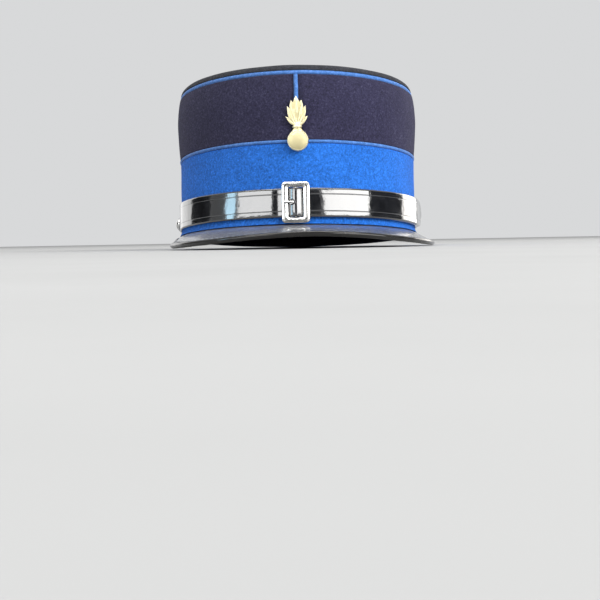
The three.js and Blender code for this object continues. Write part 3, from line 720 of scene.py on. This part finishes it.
def wall_profile():
    """The crown's wall: out under the band, over the swell of the cloth and down inside"""
    low = [(under_band(h), h) for h in UNDER_ROWS]
    swell = [(cloth_half(h), h) for h in (LEDGE + (CLOTH_TOP - LEDGE) * i / 32 for i in range(33))]
    tucked = [(cloth_half(LEDGE) - 0.55, LEDGE - 0.55), (cloth_half(LEDGE) - 1.1, LEDGE - 0.85)]
    over = [(BAND_HALF - 0.5, CLOTH_TOP + 0.35), (BAND_HALF - 1.6, CLOTH_TOP + 0.3)]
    inside = [
        (NECK_HALF, CLOTH_TOP), (NECK_HALF, LIP_HEIGHT - GAP),
        (NECK_HALF - NECK_WALL, LIP_HEIGHT - GAP), (NECK_HALF - NECK_WALL, CLOTH_TOP - WALL),
        *((cloth_half(h) - WALL, h) for h in CLOTH_ROWS),
        *((under_band(h) - WALL, h) for h in BAND_ROWS),
        (under_band(0) - WALL, 0.3), (under_band(0) - WALL + 0.5, 0), (under_band(0) - 0.5, 0),
    ]
    return [*low, *reversed(tucked), *swell, *over, *inside]


def drawn_in(bm):
    """Sinks the cloth along the front seam, where the piping is sewn in"""
    for vert in bm.verts:
        if vert.co.y < 0 and vert.co.z > LEDGE - 1 and vert.co.z < CLOTH_TOP:
            fall = math.exp(-((vert.co.x / SEAM_REACH) ** 2))
            if vert.co.y < -(cloth_half(vert.co.z) + LENGTHENING) + 1:
                vert.co.y += SEAM_DEPTH * fall
    return bm


class KepiCrownWall(bpy.types.Operator):
    """Make the navy cloth side of the crown"""

    bl_idname = "kepi.crown_wall"
    bl_label = "Crown wall"

    def execute(self, context):
        bm = ovalled(spun(wall_profile(), sizes().around, loop=True))
        for x in SEAM_COLUMNS:
            front = [
                e for e in bm.edges if all(v.co.y < 0 and abs(v.co.x) < SEAM_MARGIN for v in e.verts)
            ]
            faces = {f for e in front for f in e.link_faces}
            verts = {v for f in faces for v in f.verts}
            edges = {e for f in faces for e in f.edges}
            bmesh.ops.bisect_plane(
                bm, geom=[*faces, *verts, *edges], dist=1e-3, plane_co=(x, 0, 0), plane_no=(1, 0, 0)
            )
        uneven(bm, sizes().unevenness / MM, grain=17, seed=3.1)
        drawn_in(bm)
        cloth = known("navy_felt", felt, colours().navy, 0.03)
        piece("crown_cloth", bm, cloth, ["crown_shell"])
        return {"FINISHED"}


class KepiCrownTop(bpy.types.Operator):
    """Make the black cloth top with its rounded shoulder"""

    bl_idname = "kepi.crown_top"
    bl_label = "Crown top"

    def execute(self, context):
        rise = TOP_HEIGHT - LIP_HEIGHT
        turns = [math.radians(90 * i / 10) for i in range(11)]
        shoulder = [
            (TOP_EDGE - SHOULDER * (1 - math.cos(a)), LIP_HEIGHT + rise * math.sin(a)) for a in turns
        ]
        under = TOP_HEIGHT - TOP_THICKNESS
        flat = [(half, TOP_HEIGHT - sunk) for half, sunk in TOP_DISH]
        profile = [
            (0, under), (40, under), (TOP_EDGE - TOP_LIP - 1, under), (TOP_EDGE - TOP_LIP, LIP_HEIGHT),
            (TOP_EDGE - 0.6, LIP_HEIGHT - 0.1), *shoulder, *flat,
        ]
        bm = ovalled(spun(profile, sizes().around))
        uneven(bm, sizes().unevenness / MM, grain=22, seed=8.3)
        cloth = known("black_felt", felt, colours().black, 0.02)
        piece("crown_top_cloth", bm, cloth, ["crown_top"])
        return {"FINISHED"}


class KepiBand(bpy.types.Operator):
    """Make the lighter blue band round the lower crown"""

    bl_idname = "kepi.band"
    bl_label = "Band"

    def execute(self, context):
        rows = [RIM_GAP + 0.25, 1.0, 1.8, 2.8, 4, 5, *range(8, 53, 3), BAND_HEIGHT - 1.3]
        outside = [(band_half(h), h) for h in rows]
        inside = [(band_half(h) - BAND_THICKNESS, h) for h in reversed(rows)]
        fold = [(BAND_HALF - inward, BAND_HEIGHT - below) for inward, below in BAND_FOLD]
        rim = [(band_half(0) - 0.9, RIM_GAP), (band_half(0) - 0.3, RIM_GAP)]
        bm = ovalled(spun([*outside, *fold, *inside, *rim], sizes().around, loop=True))
        uneven(bm, 0.7 * sizes().unevenness / MM, grain=15, seed=5.7)
        piece("band_cloth", bm, known("blue_felt", felt, colours().blue), ["band"])
        return {"FINISHED"}


def ring_of_cord(half, height, radius):
    turns = [TURN * i / CORD_SIDES for i in range(CORD_SIDES)]
    section = [(half + radius * math.cos(a), height + radius * math.sin(a)) for a in turns]
    ring = ovalled(spun(section, 2 * sizes().around, loop=True))
    return uneven(ring, depth=0.09, grain=1.6, seed=1.9)


class KepiPiping(bpy.types.Operator):
    """Make the three lines of piping"""

    bl_idname = "kepi.piping"
    bl_label = "Piping"

    def execute(self, context):
        cloth = known("piping_cloth", cord_cloth)
        ring = ring_of_cord(*TOP_CORD, sizes().top_piping / MM)
        piece("top_piping_cord", ring, cloth, ["top_piping"])
        ring = ring_of_cord(*BAND_CORD, sizes().band_piping / MM)
        piece("band_piping_cord", ring, cloth, ["band_piping"])
        radius = sizes().front_piping / MM
        rows, sides = 90, CORD_SIDES

        def place(row, side):
            height = LEDGE - 0.2 + (CLOTH_TOP - LEDGE + 0.5) * row / (rows - 1)
            angle = TURN * side / sides
            drift = 0.25 * noise.noise(Vector((0, 4.4, height / 14)))
            return Vector((
                drift + radius * math.cos(angle),
                -(cloth_half(height) + LENGTHENING) + 0.15 - radius * math.sin(angle), height,
            ))

        seam = shaped(rows, sides, place, loop_columns=True)
        uneven(seam, depth=0.08, grain=1.5, seed=6.2)
        piece("front_piping_cord", seam, cloth, ["front_piping"])
        return {"FINISHED"}


# Peak


def peak_edge(count):
    """Where the peak's edge runs in plan, from one end round the front to the other"""
    rim = band_half(0)
    ahead_of = rim + LENGTHENING + PEAK_REACH
    back = math.asin(PEAK_BACK / (rim + LENGTHENING))
    turn = Matrix.Rotation(PEAK_TURN, 3, "Z")

    def turned(sign, rows):
        return [
            turn @ Vector((sign * side * (rim + PEAK_SIDE), -ahead * ahead_of, 0))
            for side, ahead in rows
        ]

    plan = [
        oval(rim + END_REACH, math.pi - back + PEAK_TURN),
        *turned(-1, PEAK_OUTLINE),
        *turned(1, PEAK_OUTLINE[-2::-1]),
        oval(rim + END_REACH, back + PEAK_TURN),
    ]
    return spaced(smooth_path(plan, 24, even=True), count)


def peak_drop(share, out):
    """How far the peak has come down, share of the way round from an end and out from the crown"""
    return eased(PEAK_DROPS, 1 - abs(2 * share - 1)) * out * (1 + CAMBER * (out - 1))


def peak_point(edge, step, out):
    """A point of the peak's upper face; out is 0 at the crown and 1 at the edge"""
    at = edge[step]
    rim = band_half(0)
    angle = math.atan2(at.y / (rim + LENGTHENING), at.x / rim)
    if out < 0:
        return oval(rim + out * TUCK, angle) - Vector((0, 0, GAP))
    there = oval(rim, angle).lerp(at, out)
    there.z = -GAP - peak_drop(step / (len(edge) - 1), out)
    return there


def edge_stations(edge):
    """Along the peak's edge, in the middle of its thickness: place, outward way, upward way, and
    the way that the edge runs"""
    half = Vector((0, 0, PEAK_THICKNESS / 2))
    line = [peak_point(edge, i, 1) for i in range(len(edge))]
    made = []
    for i, point in enumerate(line):
        at, way = point - half, way_at(line, i)
        slope = at - (peak_point(edge, i, NEAR_EDGE) - half)
        out = (slope - way * slope.dot(way)).normalized()
        made.append((at, out, way.cross(out).normalized(), way))
    return made


class KepiPeak(bpy.types.Operator):
    """Make the patent leather peak"""

    bl_idname = "kepi.peak"
    bl_label = "Peak"

    def execute(self, context):
        edge = peak_edge(PEAK_STEPS)
        outs = [-1, -0.4, *(i / PEAK_ROWS for i in range(PEAK_ROWS + 1))]
        down = Vector((0, 0, PEAK_THICKNESS))

        def place(row, column):
            if column < len(outs):
                return peak_point(edge, row, outs[column])
            return peak_point(edge, row, outs[2 * len(outs) - 1 - column]) - down

        bm = shaped(PEAK_STEPS + 1, 2 * len(outs), place, loop_columns=True)
        uneven(bm, depth=0.14, grain=19, seed=1.3)
        piece("peak_leather", bm, known("crackled_patent", crackled), ["peak"])
        return {"FINISHED"}


class KepiPeakEdge(bpy.types.Operator):
    """Make the rolled edge round the peak"""

    bl_idname = "kepi.peak_edge"
    bl_label = "Peak edge"

    def execute(self, context):
        stations = edge_stations(peak_edge(PEAK_STEPS))
        count = len(stations)
        growth, reach = ROLL_GROWTH
        along = [min(i, count - 1 - i) / count for i in range(count)]
        size = [1 + growth * max(0, 1 - share / reach) for share in along]
        first, last = (
            [(at + way * sign * past, out, up, way) for past, _ in ROLL_END]
            for sign, (at, out, up, way) in ((-1, stations[0]), (1, stations[-1]))
        )
        stations = [*first, *stations, *last[::-1]]
        closing = [share * size[0] for _, share in ROLL_END]
        size = [*closing, *size, *closing[::-1]]

        def place(row, column):
            at, out, up, _ = stations[row]
            across, rise = ROLL_SECTION[column]
            return at + out * across * size[row] + up * rise * size[row]

        bm = shaped(len(stations), len(ROLL_SECTION), place, loop_columns=True)
        uneven(bm, depth=0.10, grain=4.5, seed=2.4)
        leather = known("bound_leather", bound_leather)
        piece("peak_edge_roll", bm, leather, ["peak_binding"])
        return {"FINISHED"}


class KepiPeakStitches(bpy.types.Operator):
    """Make the row of stitches behind the peak's rolled edge"""

    bl_idname = "kepi.peak_stitches"
    bl_label = "Peak stitches"

    def execute(self, context):
        edge = peak_edge(PEAK_STEPS)
        inset = sizes().stitch_inset / MM
        rows = []
        for i in range(len(edge)):
            reach = (peak_point(edge, i, 1) - peak_point(edge, i, 0)).length
            if reach > 2.5 * inset:
                rows.append([peak_point(edge, i, 1 - k * inset / reach) for k in (1, 1.5)])
        line, behind = zip(*rows)
        whole = sum((q - p).length for p, q in zip(line, line[1:]))
        count = round(whole / (sizes().stitch_pitch / MM))
        places, inner = spaced(line, 3 * count), spaced(behind, 3 * count)
        shape = Matrix.Diagonal(STITCH_HALF)
        bm = bmesh.new()
        for i in range(1, 3 * count, 3):
            way = way_at(places, i)
            across = places[i] - inner[i]
            across = (across - way * across.dot(way)).normalized()
            up = way.cross(across).normalized()
            up = up if up.z > 0 else -up
            turn = Matrix((way, across, up)).transposed().to_4x4()
            bmesh.ops.create_uvsphere(
                bm, u_segments=8, v_segments=6, radius=1,
                matrix=Matrix.Translation(places[i] + up * STITCH_PROUD) @ turn @ shape,
            )
        piece("peak_stitches", bm, known("linen_thread", thread))
        return {"FINISHED"}


# Strap


def angle_left(half, y):
    return math.pi - math.asin(y / (half + LENGTHENING))


def angle_right(half, y):
    return TURN + math.asin(y / (half + LENGTHENING))


def across_front(x, off):
    half = BAND_HALF + off
    return oval(half, -math.acos((x + BUCKLE_ASIDE) / half))


def strap_run(layer, angle_at, stop, radius, end_y, flare):
    """Places and heights from a rounded end behind the side of the crown to near the buckle"""
    half = BAND_HALF + layer

    def lift(distance):
        return flare * max(0, 1 - distance / FLARE_LENGTH) ** 2

    made = []
    for k in range(END_ROWS + 1):
        distance = radius * (k / END_ROWS) ** 2
        out = half + lift(distance)
        tall = math.sqrt(1 - max(0, 1 - distance / radius) ** 2)
        made.append((oval(out, angle_at(out, end_y - distance)), max(BLUNT_END, tall)))
    start = angle_at(half, end_y - radius)
    stop_angle = TURN - math.acos((stop + BUCKLE_ASIDE) / half)
    steps = round(abs(stop_angle - start) * half / STEP_LENGTH)
    for k in range(1, steps + 1):
        angle = start + (stop_angle - start) * k / steps
        distance = radius + abs(angle - start) * half
        made.append((oval(half + lift(distance), angle), 1))
    return made


def crossing(rows, layer, target):
    return [
        (across_front(across * BUCKLE_OPENING / 2, layer + rise * (target - layer)), 1)
        for across, rise in rows
    ]


def over_bar():
    turns = [math.radians(degrees) for degrees in OVER_BAR]
    return [(across_front(HUMP * math.cos(a), BAR_OUT + HUMP * math.sin(a)), 1) for a in turns]


def strap_section():
    """Round the strap: its outer face with two pressed lines, its rounded edges and its back"""
    thick, tall = STRAP_THICKNESS / 2, STRAP_WIDTH / 2
    line, deep = tall - CREASE_INSET, sizes().crease_depth / MM
    half_face = [
        (thick + 0.06, 0), *((thick + 0.06, up) for up in (0.5, 1.0, 1.4, 1.8, 2.8)),
        (thick + 0.03, line - CREASE_HALF - 0.25),
        (thick + 0.03, line - CREASE_HALF), (thick - 0.6 * deep, line - 0.5 * CREASE_HALF),
        (thick - deep, line), (thick - 0.6 * deep, line + 0.5 * CREASE_HALF),
        (thick + 0.02, line + CREASE_HALF), (thick + 0.02, line + CREASE_HALF + 0.25),
        (thick, tall - 1.2), (thick - 0.06, tall - 0.5), (thick - 0.25, tall - 0.15),
        (thick - 0.5, tall), (0.3 - thick, tall), (0.08 - thick, tall - 0.15), (-thick, tall - 0.4),
        (-thick, tall * 0.5), (-thick, 0),
    ]
    other = [(out, -up) for out, up in half_face[-2:0:-1]]
    return half_face + other


def strap_body(controls, facing, holed=False):
    """A strap along a smooth path through the controls; facing is 1 where its face is on the
    right of the way it runs, -1 on the left"""
    parts = 5
    path = smooth_path([at for at, _ in controls], parts)
    talls = []
    for (_, low), (_, high) in zip(controls, controls[1:]):
        talls += [low + (high - low) * k / parts for k in range(parts)]
    talls.append(controls[-1][1])
    section = strap_section()

    def place(row, column):
        out = right_of(way_at(path, row)) * facing
        across, rise = section[column]
        aside = path[row].x - BUCKLE_ASIDE
        on_face = across > 0 and abs(rise) < STRAP_WIDTH / 2 - FACE_MARGIN
        if on_face and path[row].y < 0 and abs(aside) < NEAR_BUCKLE:
            share = math.hypot((aside - HOLE_ASIDE) / HOLE_HALF[0], rise / HOLE_HALF[1])
            across = STRAP_THICKNESS / 2 + PLAIN_FACE
            if holed and share < 1:
                across -= HOLE_DEPTH * min(1, HOLE_SLOPE * (1 - share))
        at = path[row] + out * across
        at.z = STRAP_MIDDLE + rise * talls[row]
        return at

    return shaped(len(path), len(section), place, loop_columns=True)


def bar_place(bm):
    bmesh.ops.translate(bm, vec=(BUCKLE_ASIDE, BUCKLE_FACE - BAR_OUT, STRAP_MIDDLE), verts=bm.verts)
    return bm


def tube(inner, outer, low, high):
    """A short tube round the buckle's bar"""
    profile = [(inner, low), (outer, low), (outer, high), (inner, high)]
    return bar_place(spun(profile, 40, loop=True))


class KepiStrap(bpy.types.Operator):
    """Make both halves of the strap across the front"""

    bl_idname = "kepi.strap"
    bl_label = "Strap"

    def execute(self, context):
        leather = known("lacquered_leather", patent)
        left = strap_run(LOW_LAYER, angle_left, -STRAP_STOP, **STRAP_END)
        right = strap_run(HIGH_LAYER, angle_right, STRAP_STOP, **TAIL)
        bm = strap_body([
            *left, *crossing(UNDER_LEFT_BAR, LOW_LAYER, BAR_OUT), *over_bar(),
            *crossing(UNDER_RIGHT_BAR, HIGH_LAYER, BAR_OUT), *reversed(right),
        ], 1, holed=True)
        uneven(bm, depth=0.16, grain=13, seed=4.9)
        piece("strap_long_leather", bm, leather, ["strap_long"])
        run = strap_run(LOW_LAYER, angle_right, STRAP_STOP, **STRAP_END)
        body = strap_body([*run, *crossing(INTO_LOOP, LOW_LAYER, BAR_OUT - (EYE + LOOP) / 2)], -1)
        half = STRAP_WIDTH / 2
        rings = [tube(EYE, LOOP, *ends) for ends in ((-half, -RING_GAP), (RING_GAP, half))]
        piece("strap_short_leather", merged(body, *rings), leather, ["strap_short"])
        return {"FINISHED"}


# Buckle


def rounded_box(inset):
    """Points round the buckle at a distance in from its outer edge, in the plane of the frame"""
    wall = (BUCKLE_WIDTH - BUCKLE_OPENING) / 2
    share = inset / wall
    radius = BUCKLE_CORNERS[0] + (BUCKLE_CORNERS[1] - BUCKLE_CORNERS[0]) * share
    wide = BUCKLE_WIDTH / 2 - inset - radius
    tall = (BUCKLE_HEIGHT - share * (BUCKLE_HEIGHT - BUCKLE_OPENING_HEIGHT)) / 2 - radius
    made = []
    for k, (x, z) in enumerate(((wide, tall), (-wide, tall), (-wide, -tall), (wide, -tall))):
        for i in range(9):
            angle = math.radians(90 * (k + i / 8))
            made.append((x + radius * math.cos(angle), z + radius * math.sin(angle)))
    return made


class KepiBuckle(bpy.types.Operator):
    """Make the buckle's frame with its centre bar, and its prong"""

    bl_idname = "kepi.buckle"
    bl_label = "Buckle"

    def execute(self, context):
        metal = known("nickel_plate", nickel)
        rings = [rounded_box(inset) for inset, _ in FRAME_SECTION]

        def place(row, column):
            x, z = rings[row][column]
            off = BUCKLE_BACK + FRAME_SECTION[row][1]
            return Vector((BUCKLE_ASIDE + x, BUCKLE_FACE - off, STRAP_MIDDLE + z))

        ring = shaped(len(rings), len(rings[0]), place, loop_rows=True, loop_columns=True)
        bar = bmesh.new()
        bmesh.ops.create_cone(
            bar, cap_ends=True, segments=24, radius1=BAR_RADIUS, radius2=BAR_RADIUS,
            depth=BUCKLE_OPENING_HEIGHT + 0.9,
        )
        piece("buckle_frame_metal", merged(ring, bar_place(bar)), metal, ["buckle_frame"])
        front = BUCKLE_BACK + FRAME_DEPTH + GAP + PRONG_RADIUS - PRONG_SUNK
        side = (BUCKLE_WIDTH + BUCKLE_OPENING) / 4
        rows = [(-EYE, BAR_OUT + EYE), (-0.8 * HUMP, (BAR_OUT + EYE + 2 * front) / 3),
                (-BUCKLE_OPENING / 2, front), (-side, front), (-side - 0.9, front)]
        path = smooth_path(
            [Vector((BUCKLE_ASIDE + x, BUCKLE_FACE - off, STRAP_MIDDLE)) for x, off in rows], 8
        )
        last = len(path) - 1

        def around(row, side_of):
            out = right_of(way_at(path, row))
            tip = min(1, math.sqrt(max(0.02, 1 - max(0, (row - last + 3) / 3) ** 2)))
            angle = TURN * side_of / PRONG_SIDES
            radial = out * math.cos(angle) + Vector((0, 0, math.sin(angle)))
            return path[row] + radial * PRONG_RADIUS * tip

        shaft = shaped(last + 1, PRONG_SIDES, around, loop_columns=True)
        eye = tube(EYE, EYE + 0.8, -1, 1)
        piece("buckle_prong_metal", merged(shaft, eye), metal, ["buckle_prong"])
        return {"FINISHED"}


# Buttons and badge


class KepiButtons(bpy.types.Operator):
    """Make the two side buttons that hold the strap"""

    bl_idname = "kepi.buttons"
    bl_label = "Buttons"

    def execute(self, context):
        metal = known("nickel_plate", nickel)
        for name, angle_at in (("button_left", angle_left), ("button_right", angle_right)):
            seat = oval(STRAP_OUT, angle_at(STRAP_OUT, BUTTON_BACK))
            way = math.copysign(1, seat.x)
            turn = Matrix.Rotation(math.radians(90) * way, 4, "Y")
            bm = spun(BUTTON_PROFILE, 48)
            place = Matrix.Translation(seat + Vector((0, 0, BUTTON_UP))) @ turn
            bmesh.ops.transform(bm, matrix=place, verts=bm.verts)
            piece(name + "_metal", bm, metal, [name])
        return {"FINISHED"}


def tongue(start, bend, tip, widest, height):
    """One lick of flame: a leaf with a ridge along its middle, standing on the badge's plate"""
    rows, sides = 18, 9
    p, q, r = (Vector((*point, 0)) for point in (start, bend, tip))
    path = [p.lerp(q, t).lerp(q.lerp(r, t), t) for t in (k / (rows - 1) for k in range(rows))]
    profile = [-1 + 2 * k / (sides - 1) for k in range(sides)]
    section = [(s, 1 - abs(s) ** 1.3) for s in profile] + [(0.9, -0.6), (-0.9, -0.6)]

    def place(row, column):
        t = row / (rows - 1)
        side = right_of(way_at(path, row))
        full = min(1, 0.5 + 1.8 * t) * (1 - t**1.6)
        across, up = section[column]
        at = path[row] + side * across * widest * max(full, 0.01)
        at.z = PLATE - 0.1 + (height * up if up > 0 else 0.5 * up) * (0.35 + 0.65 * full)
        return at

    return shaped(rows, len(section), place, loop_columns=True)


def flame_plate():
    """The thin back of the flame, its edge bevelled"""
    left = [(-x, y) for x, y in FLAME_OUTLINE[-2::-1]]
    bm = bmesh.new()
    face = bm.faces.new([bm.verts.new((x, y, 0)) for x, y in FLAME_OUTLINE + left])
    raised = bmesh.ops.extrude_face_region(bm, geom=[face])
    top = [v for v in raised["geom"] if isinstance(v, bmesh.types.BMVert)]
    bmesh.ops.translate(bm, vec=(0, 0, PLATE), verts=top)
    upper = [e for e in bm.edges if all(v.co.z > PLATE / 2 for v in e.verts)]
    bmesh.ops.bevel(bm, geom=upper, offset=0.18, segments=2, profile=0.5, affect="EDGES", material=-1)
    return bm


def neck():
    """The stem between the ball and the flame, with its collar"""

    def place(row, column):
        up, half, proud = NECK_ROWS[row]
        if column < NECK_SIDES:
            angle = math.pi * column / (NECK_SIDES - 1)
            inner = 0 < column < NECK_SIDES - 1
            return Vector((half * math.cos(angle), up, proud * math.sin(angle) ** 0.8 if inner else 0))
        return Vector((-half if column == NECK_SIDES else half, up, -0.05))

    return shaped(len(NECK_ROWS), NECK_SIDES + 2, place, loop_columns=True)


class KepiBadge(bpy.types.Operator):
    """Make the flaming grenade badge"""

    bl_idname = "kepi.badge"
    bl_label = "Badge"

    def execute(self, context):
        ball = spun(BALL_PROFILE, 72)
        licks = [tongue(*row) for row in MIDDLE_TONGUES]
        for start, bend, tip, *rest in TONGUES:
            licks.append(tongue(start, bend, tip, *rest))
            flipped = [(-x, y) for x, y in (start, bend, tip)]
            licks.append(tongue(*flipped, *rest))
        bm = merged(ball, flame_plate(), neck(), *licks)
        low, high = LEDGE, BADGE_MIDDLE + BADGE_SEATED
        over = [LENGTHENING + cloth_half(h) + BADGE_OVER_SEAM + GAP for h in (low, high)]
        slope = (over[1] - over[0]) / (high - low)
        seat = Vector((BADGE_ASIDE, -over[0] + slope * (low - BADGE_MIDDLE), BADGE_MIDDLE))
        tilt = Matrix.Rotation(math.radians(90) + math.atan(slope), 4, "X")
        place = Matrix.Translation(seat) @ tilt @ Matrix.Rotation(BADGE_LEAN, 4, "Z")
        bmesh.ops.transform(bm, matrix=place, verts=bm.verts)
        piece("badge_metal", bm, known("stamped_brass", pale_brass), ["badge"])
        return {"FINISHED"}


# Studio

WHITE = (1.0, 1.0, 1.0)
WARM = (1.0, 0.99, 0.97)
# Azimuth in degrees to the right of the front, elevation, distance in metres, width and height
# of the panel in metres, its radiance, its colour, and the kinds of surface that see it
PANELS = {
    "card_left": (-45.5, 9, 1.3, 0.92, 0.30, 4.0, WHITE, "glossy"),
    "card_right": (51, 8, 1.3, 1.16, 0.30, 6.0, WARM, "glossy"),
    "window": (-72.5, 7, 1.3, 0.18, 0.44, 5.0, (0.50, 0.80, 1.0), "glossy"),
    "side_left": (-143, 9, 1.4, 0.75, 0.6, 0.5, WARM, "glossy"),
    "side_right": (134, 9, 1.4, 0.75, 0.6, 2.6, (1.0, 0.96, 0.91), "glossy"),
    "strip": (0, 62, 1.6, 3.6, 0.3, 12.0, WHITE, "glossy"),
    "key": (48, 25, 3.6, 2.9, 1.9, 6.3, WHITE, "diffuse"),
    "fill": (-30, 30, 3.2, 2.0, 1.6, 0.3, WHITE, "diffuse"),
    "overhead": (0, 80, 3.0, 2.4, 2.4, 1.6, WHITE, "diffuse glossy"),
}
# Dark flags that only glossy surfaces show: azimuth, elevation, distance, width, height, tint
FLAGS = {
    "flag_left": (-112, 6, 1.2, 0.60, 0.42, 0.015),
    "flag_brown": (-88, 7, 1.2, 0.38, 0.42, 0.28),
    "flag_front": (0, 9, 1.2, 1.0, 0.22, 0.05),
    "flag_right": (97, 6, 1.2, 0.90, 0.42, 0.02),
}
PANEL_TARGET = Vector((0, 0, 0.06))
# A lamp's watts for a square metre of it and a radiance of 1
WATTS = 4
FLOOR_RADIUS = 9


def facing_hat(azimuth, elevation, distance):
    """Where a panel stands and how it is turned, to face the hat from a direction"""
    a, e = math.radians(azimuth), math.radians(elevation)
    way = Vector((math.sin(a) * math.cos(e), -math.cos(a) * math.cos(e), math.sin(e)))
    return PANEL_TARGET + distance * way, (-way).to_track_quat("-Z", "Y").to_euler()


class KepiStage(bpy.types.Operator):
    """Make the floor, the lights and the camera"""

    bl_idname = "kepi.stage"
    bl_label = "Floor, lights and camera"

    def execute(self, context):
        scene = context.scene
        studio = scene.kepi_studio
        bm = bmesh.new()
        bmesh.ops.create_circle(bm, cap_ends=True, segments=96, radius=FLOOR_RADIUS)
        placed("floor", bm, known("floor_paint", floor_paint))

        for name, (azimuth, elevation, distance, width, height, radiance, tint, seen) in PANELS.items():
            light = bpy.data.lights.new(name, "AREA")
            light.shape = "RECTANGLE"
            light.size, light.size_y = width, height
            light.color = tint
            light.energy = WATTS * radiance * width * height
            lamp = bpy.data.objects.new(name, light)
            lamp.location, lamp.rotation_euler = facing_hat(azimuth, elevation, distance)
            lamp.visible_camera = False
            lamp.visible_diffuse, lamp.visible_glossy = "diffuse" in seen, "glossy" in seen
            scene.collection.objects.link(lamp)
        for name, (azimuth, elevation, distance, width, height, tint) in FLAGS.items():
            place, turn = facing_hat(azimuth, elevation, distance)
            place = Matrix.Translation(place) @ turn.to_matrix().to_4x4()
            bm = bmesh.new()
            bmesh.ops.create_grid(
                bm, x_segments=1, y_segments=1, size=0.5,
                matrix=place @ Matrix.Diagonal((width, height, 1, 1)),
            )
            paint = Finish(name, (tint, tint, tint), Roughness=1.0, Specular_IOR_Level=0.0)
            flag = placed(name, bm, paint.material)
            flag.visible_camera = flag.visible_diffuse = flag.visible_shadow = False

        world = bpy.data.worlds.new("surroundings")
        world.use_nodes = True
        background = world.node_tree.nodes["Background"]
        background.inputs["Color"].default_value = (0.98, 0.99, 1.0, 1)
        background.inputs["Strength"].default_value = studio.surroundings
        scene.world = world
        scene.view_settings.view_transform = "Standard"

        camera = bpy.data.objects.new("camera", bpy.data.cameras.new("camera"))
        camera.data.lens = studio.lens
        camera.data.clip_start = 0.002
        camera.location = (studio.aside, PLACE.y * MM - studio.distance, studio.height)
        camera.rotation_euler = (math.radians(90) - studio.down, studio.roll, 0)
        scene.collection.objects.link(camera)
        scene.camera = camera
        return {"FINISHED"}


class KepiPanel(bpy.types.Panel):
    """Lists the pieces of the kepi and the values that shape them"""

    bl_idname = "VIEW3D_PT_kepi"
    bl_label = "Kepi"
    bl_space_type = "VIEW_3D"
    bl_region_type = "UI"
    bl_category = "Kepi"

    def draw(self, context):
        for operator in OPERATORS:
            self.layout.operator(operator.bl_idname)
        for group in ("kepi_sizes", "kepi_colours", "kepi_studio"):
            settings = getattr(context.scene, group)
            box = self.layout.box()
            for name in settings.__annotations__:
                box.prop(settings, name)


GROUPS = {"kepi_sizes": KepiSizes, "kepi_colours": KepiColours, "kepi_studio": KepiStudio}
OPERATORS = (
    KepiStage, KepiCrownWall, KepiCrownTop, KepiBand, KepiPiping, KepiPeak, KepiPeakEdge,
    KepiPeakStitches, KepiStrap, KepiBuckle, KepiButtons, KepiBadge,
)
CLASSES = (*GROUPS.values(), *OPERATORS, KepiPanel)


def register():
    for made in CLASSES:
        bpy.utils.register_class(made)
    for name, group in GROUPS.items():
        setattr(bpy.types.Scene, name, PointerProperty(type=group))


def unregister():
    for name in GROUPS:
        delattr(bpy.types.Scene, name)
    for made in reversed(CLASSES):
        bpy.utils.unregister_class(made)


def main():
    register()
    for operator in OPERATORS:
        group, name = operator.bl_idname.split(".")
        getattr(getattr(bpy.ops, group), name)()


if __name__ == "__main__":
    main()
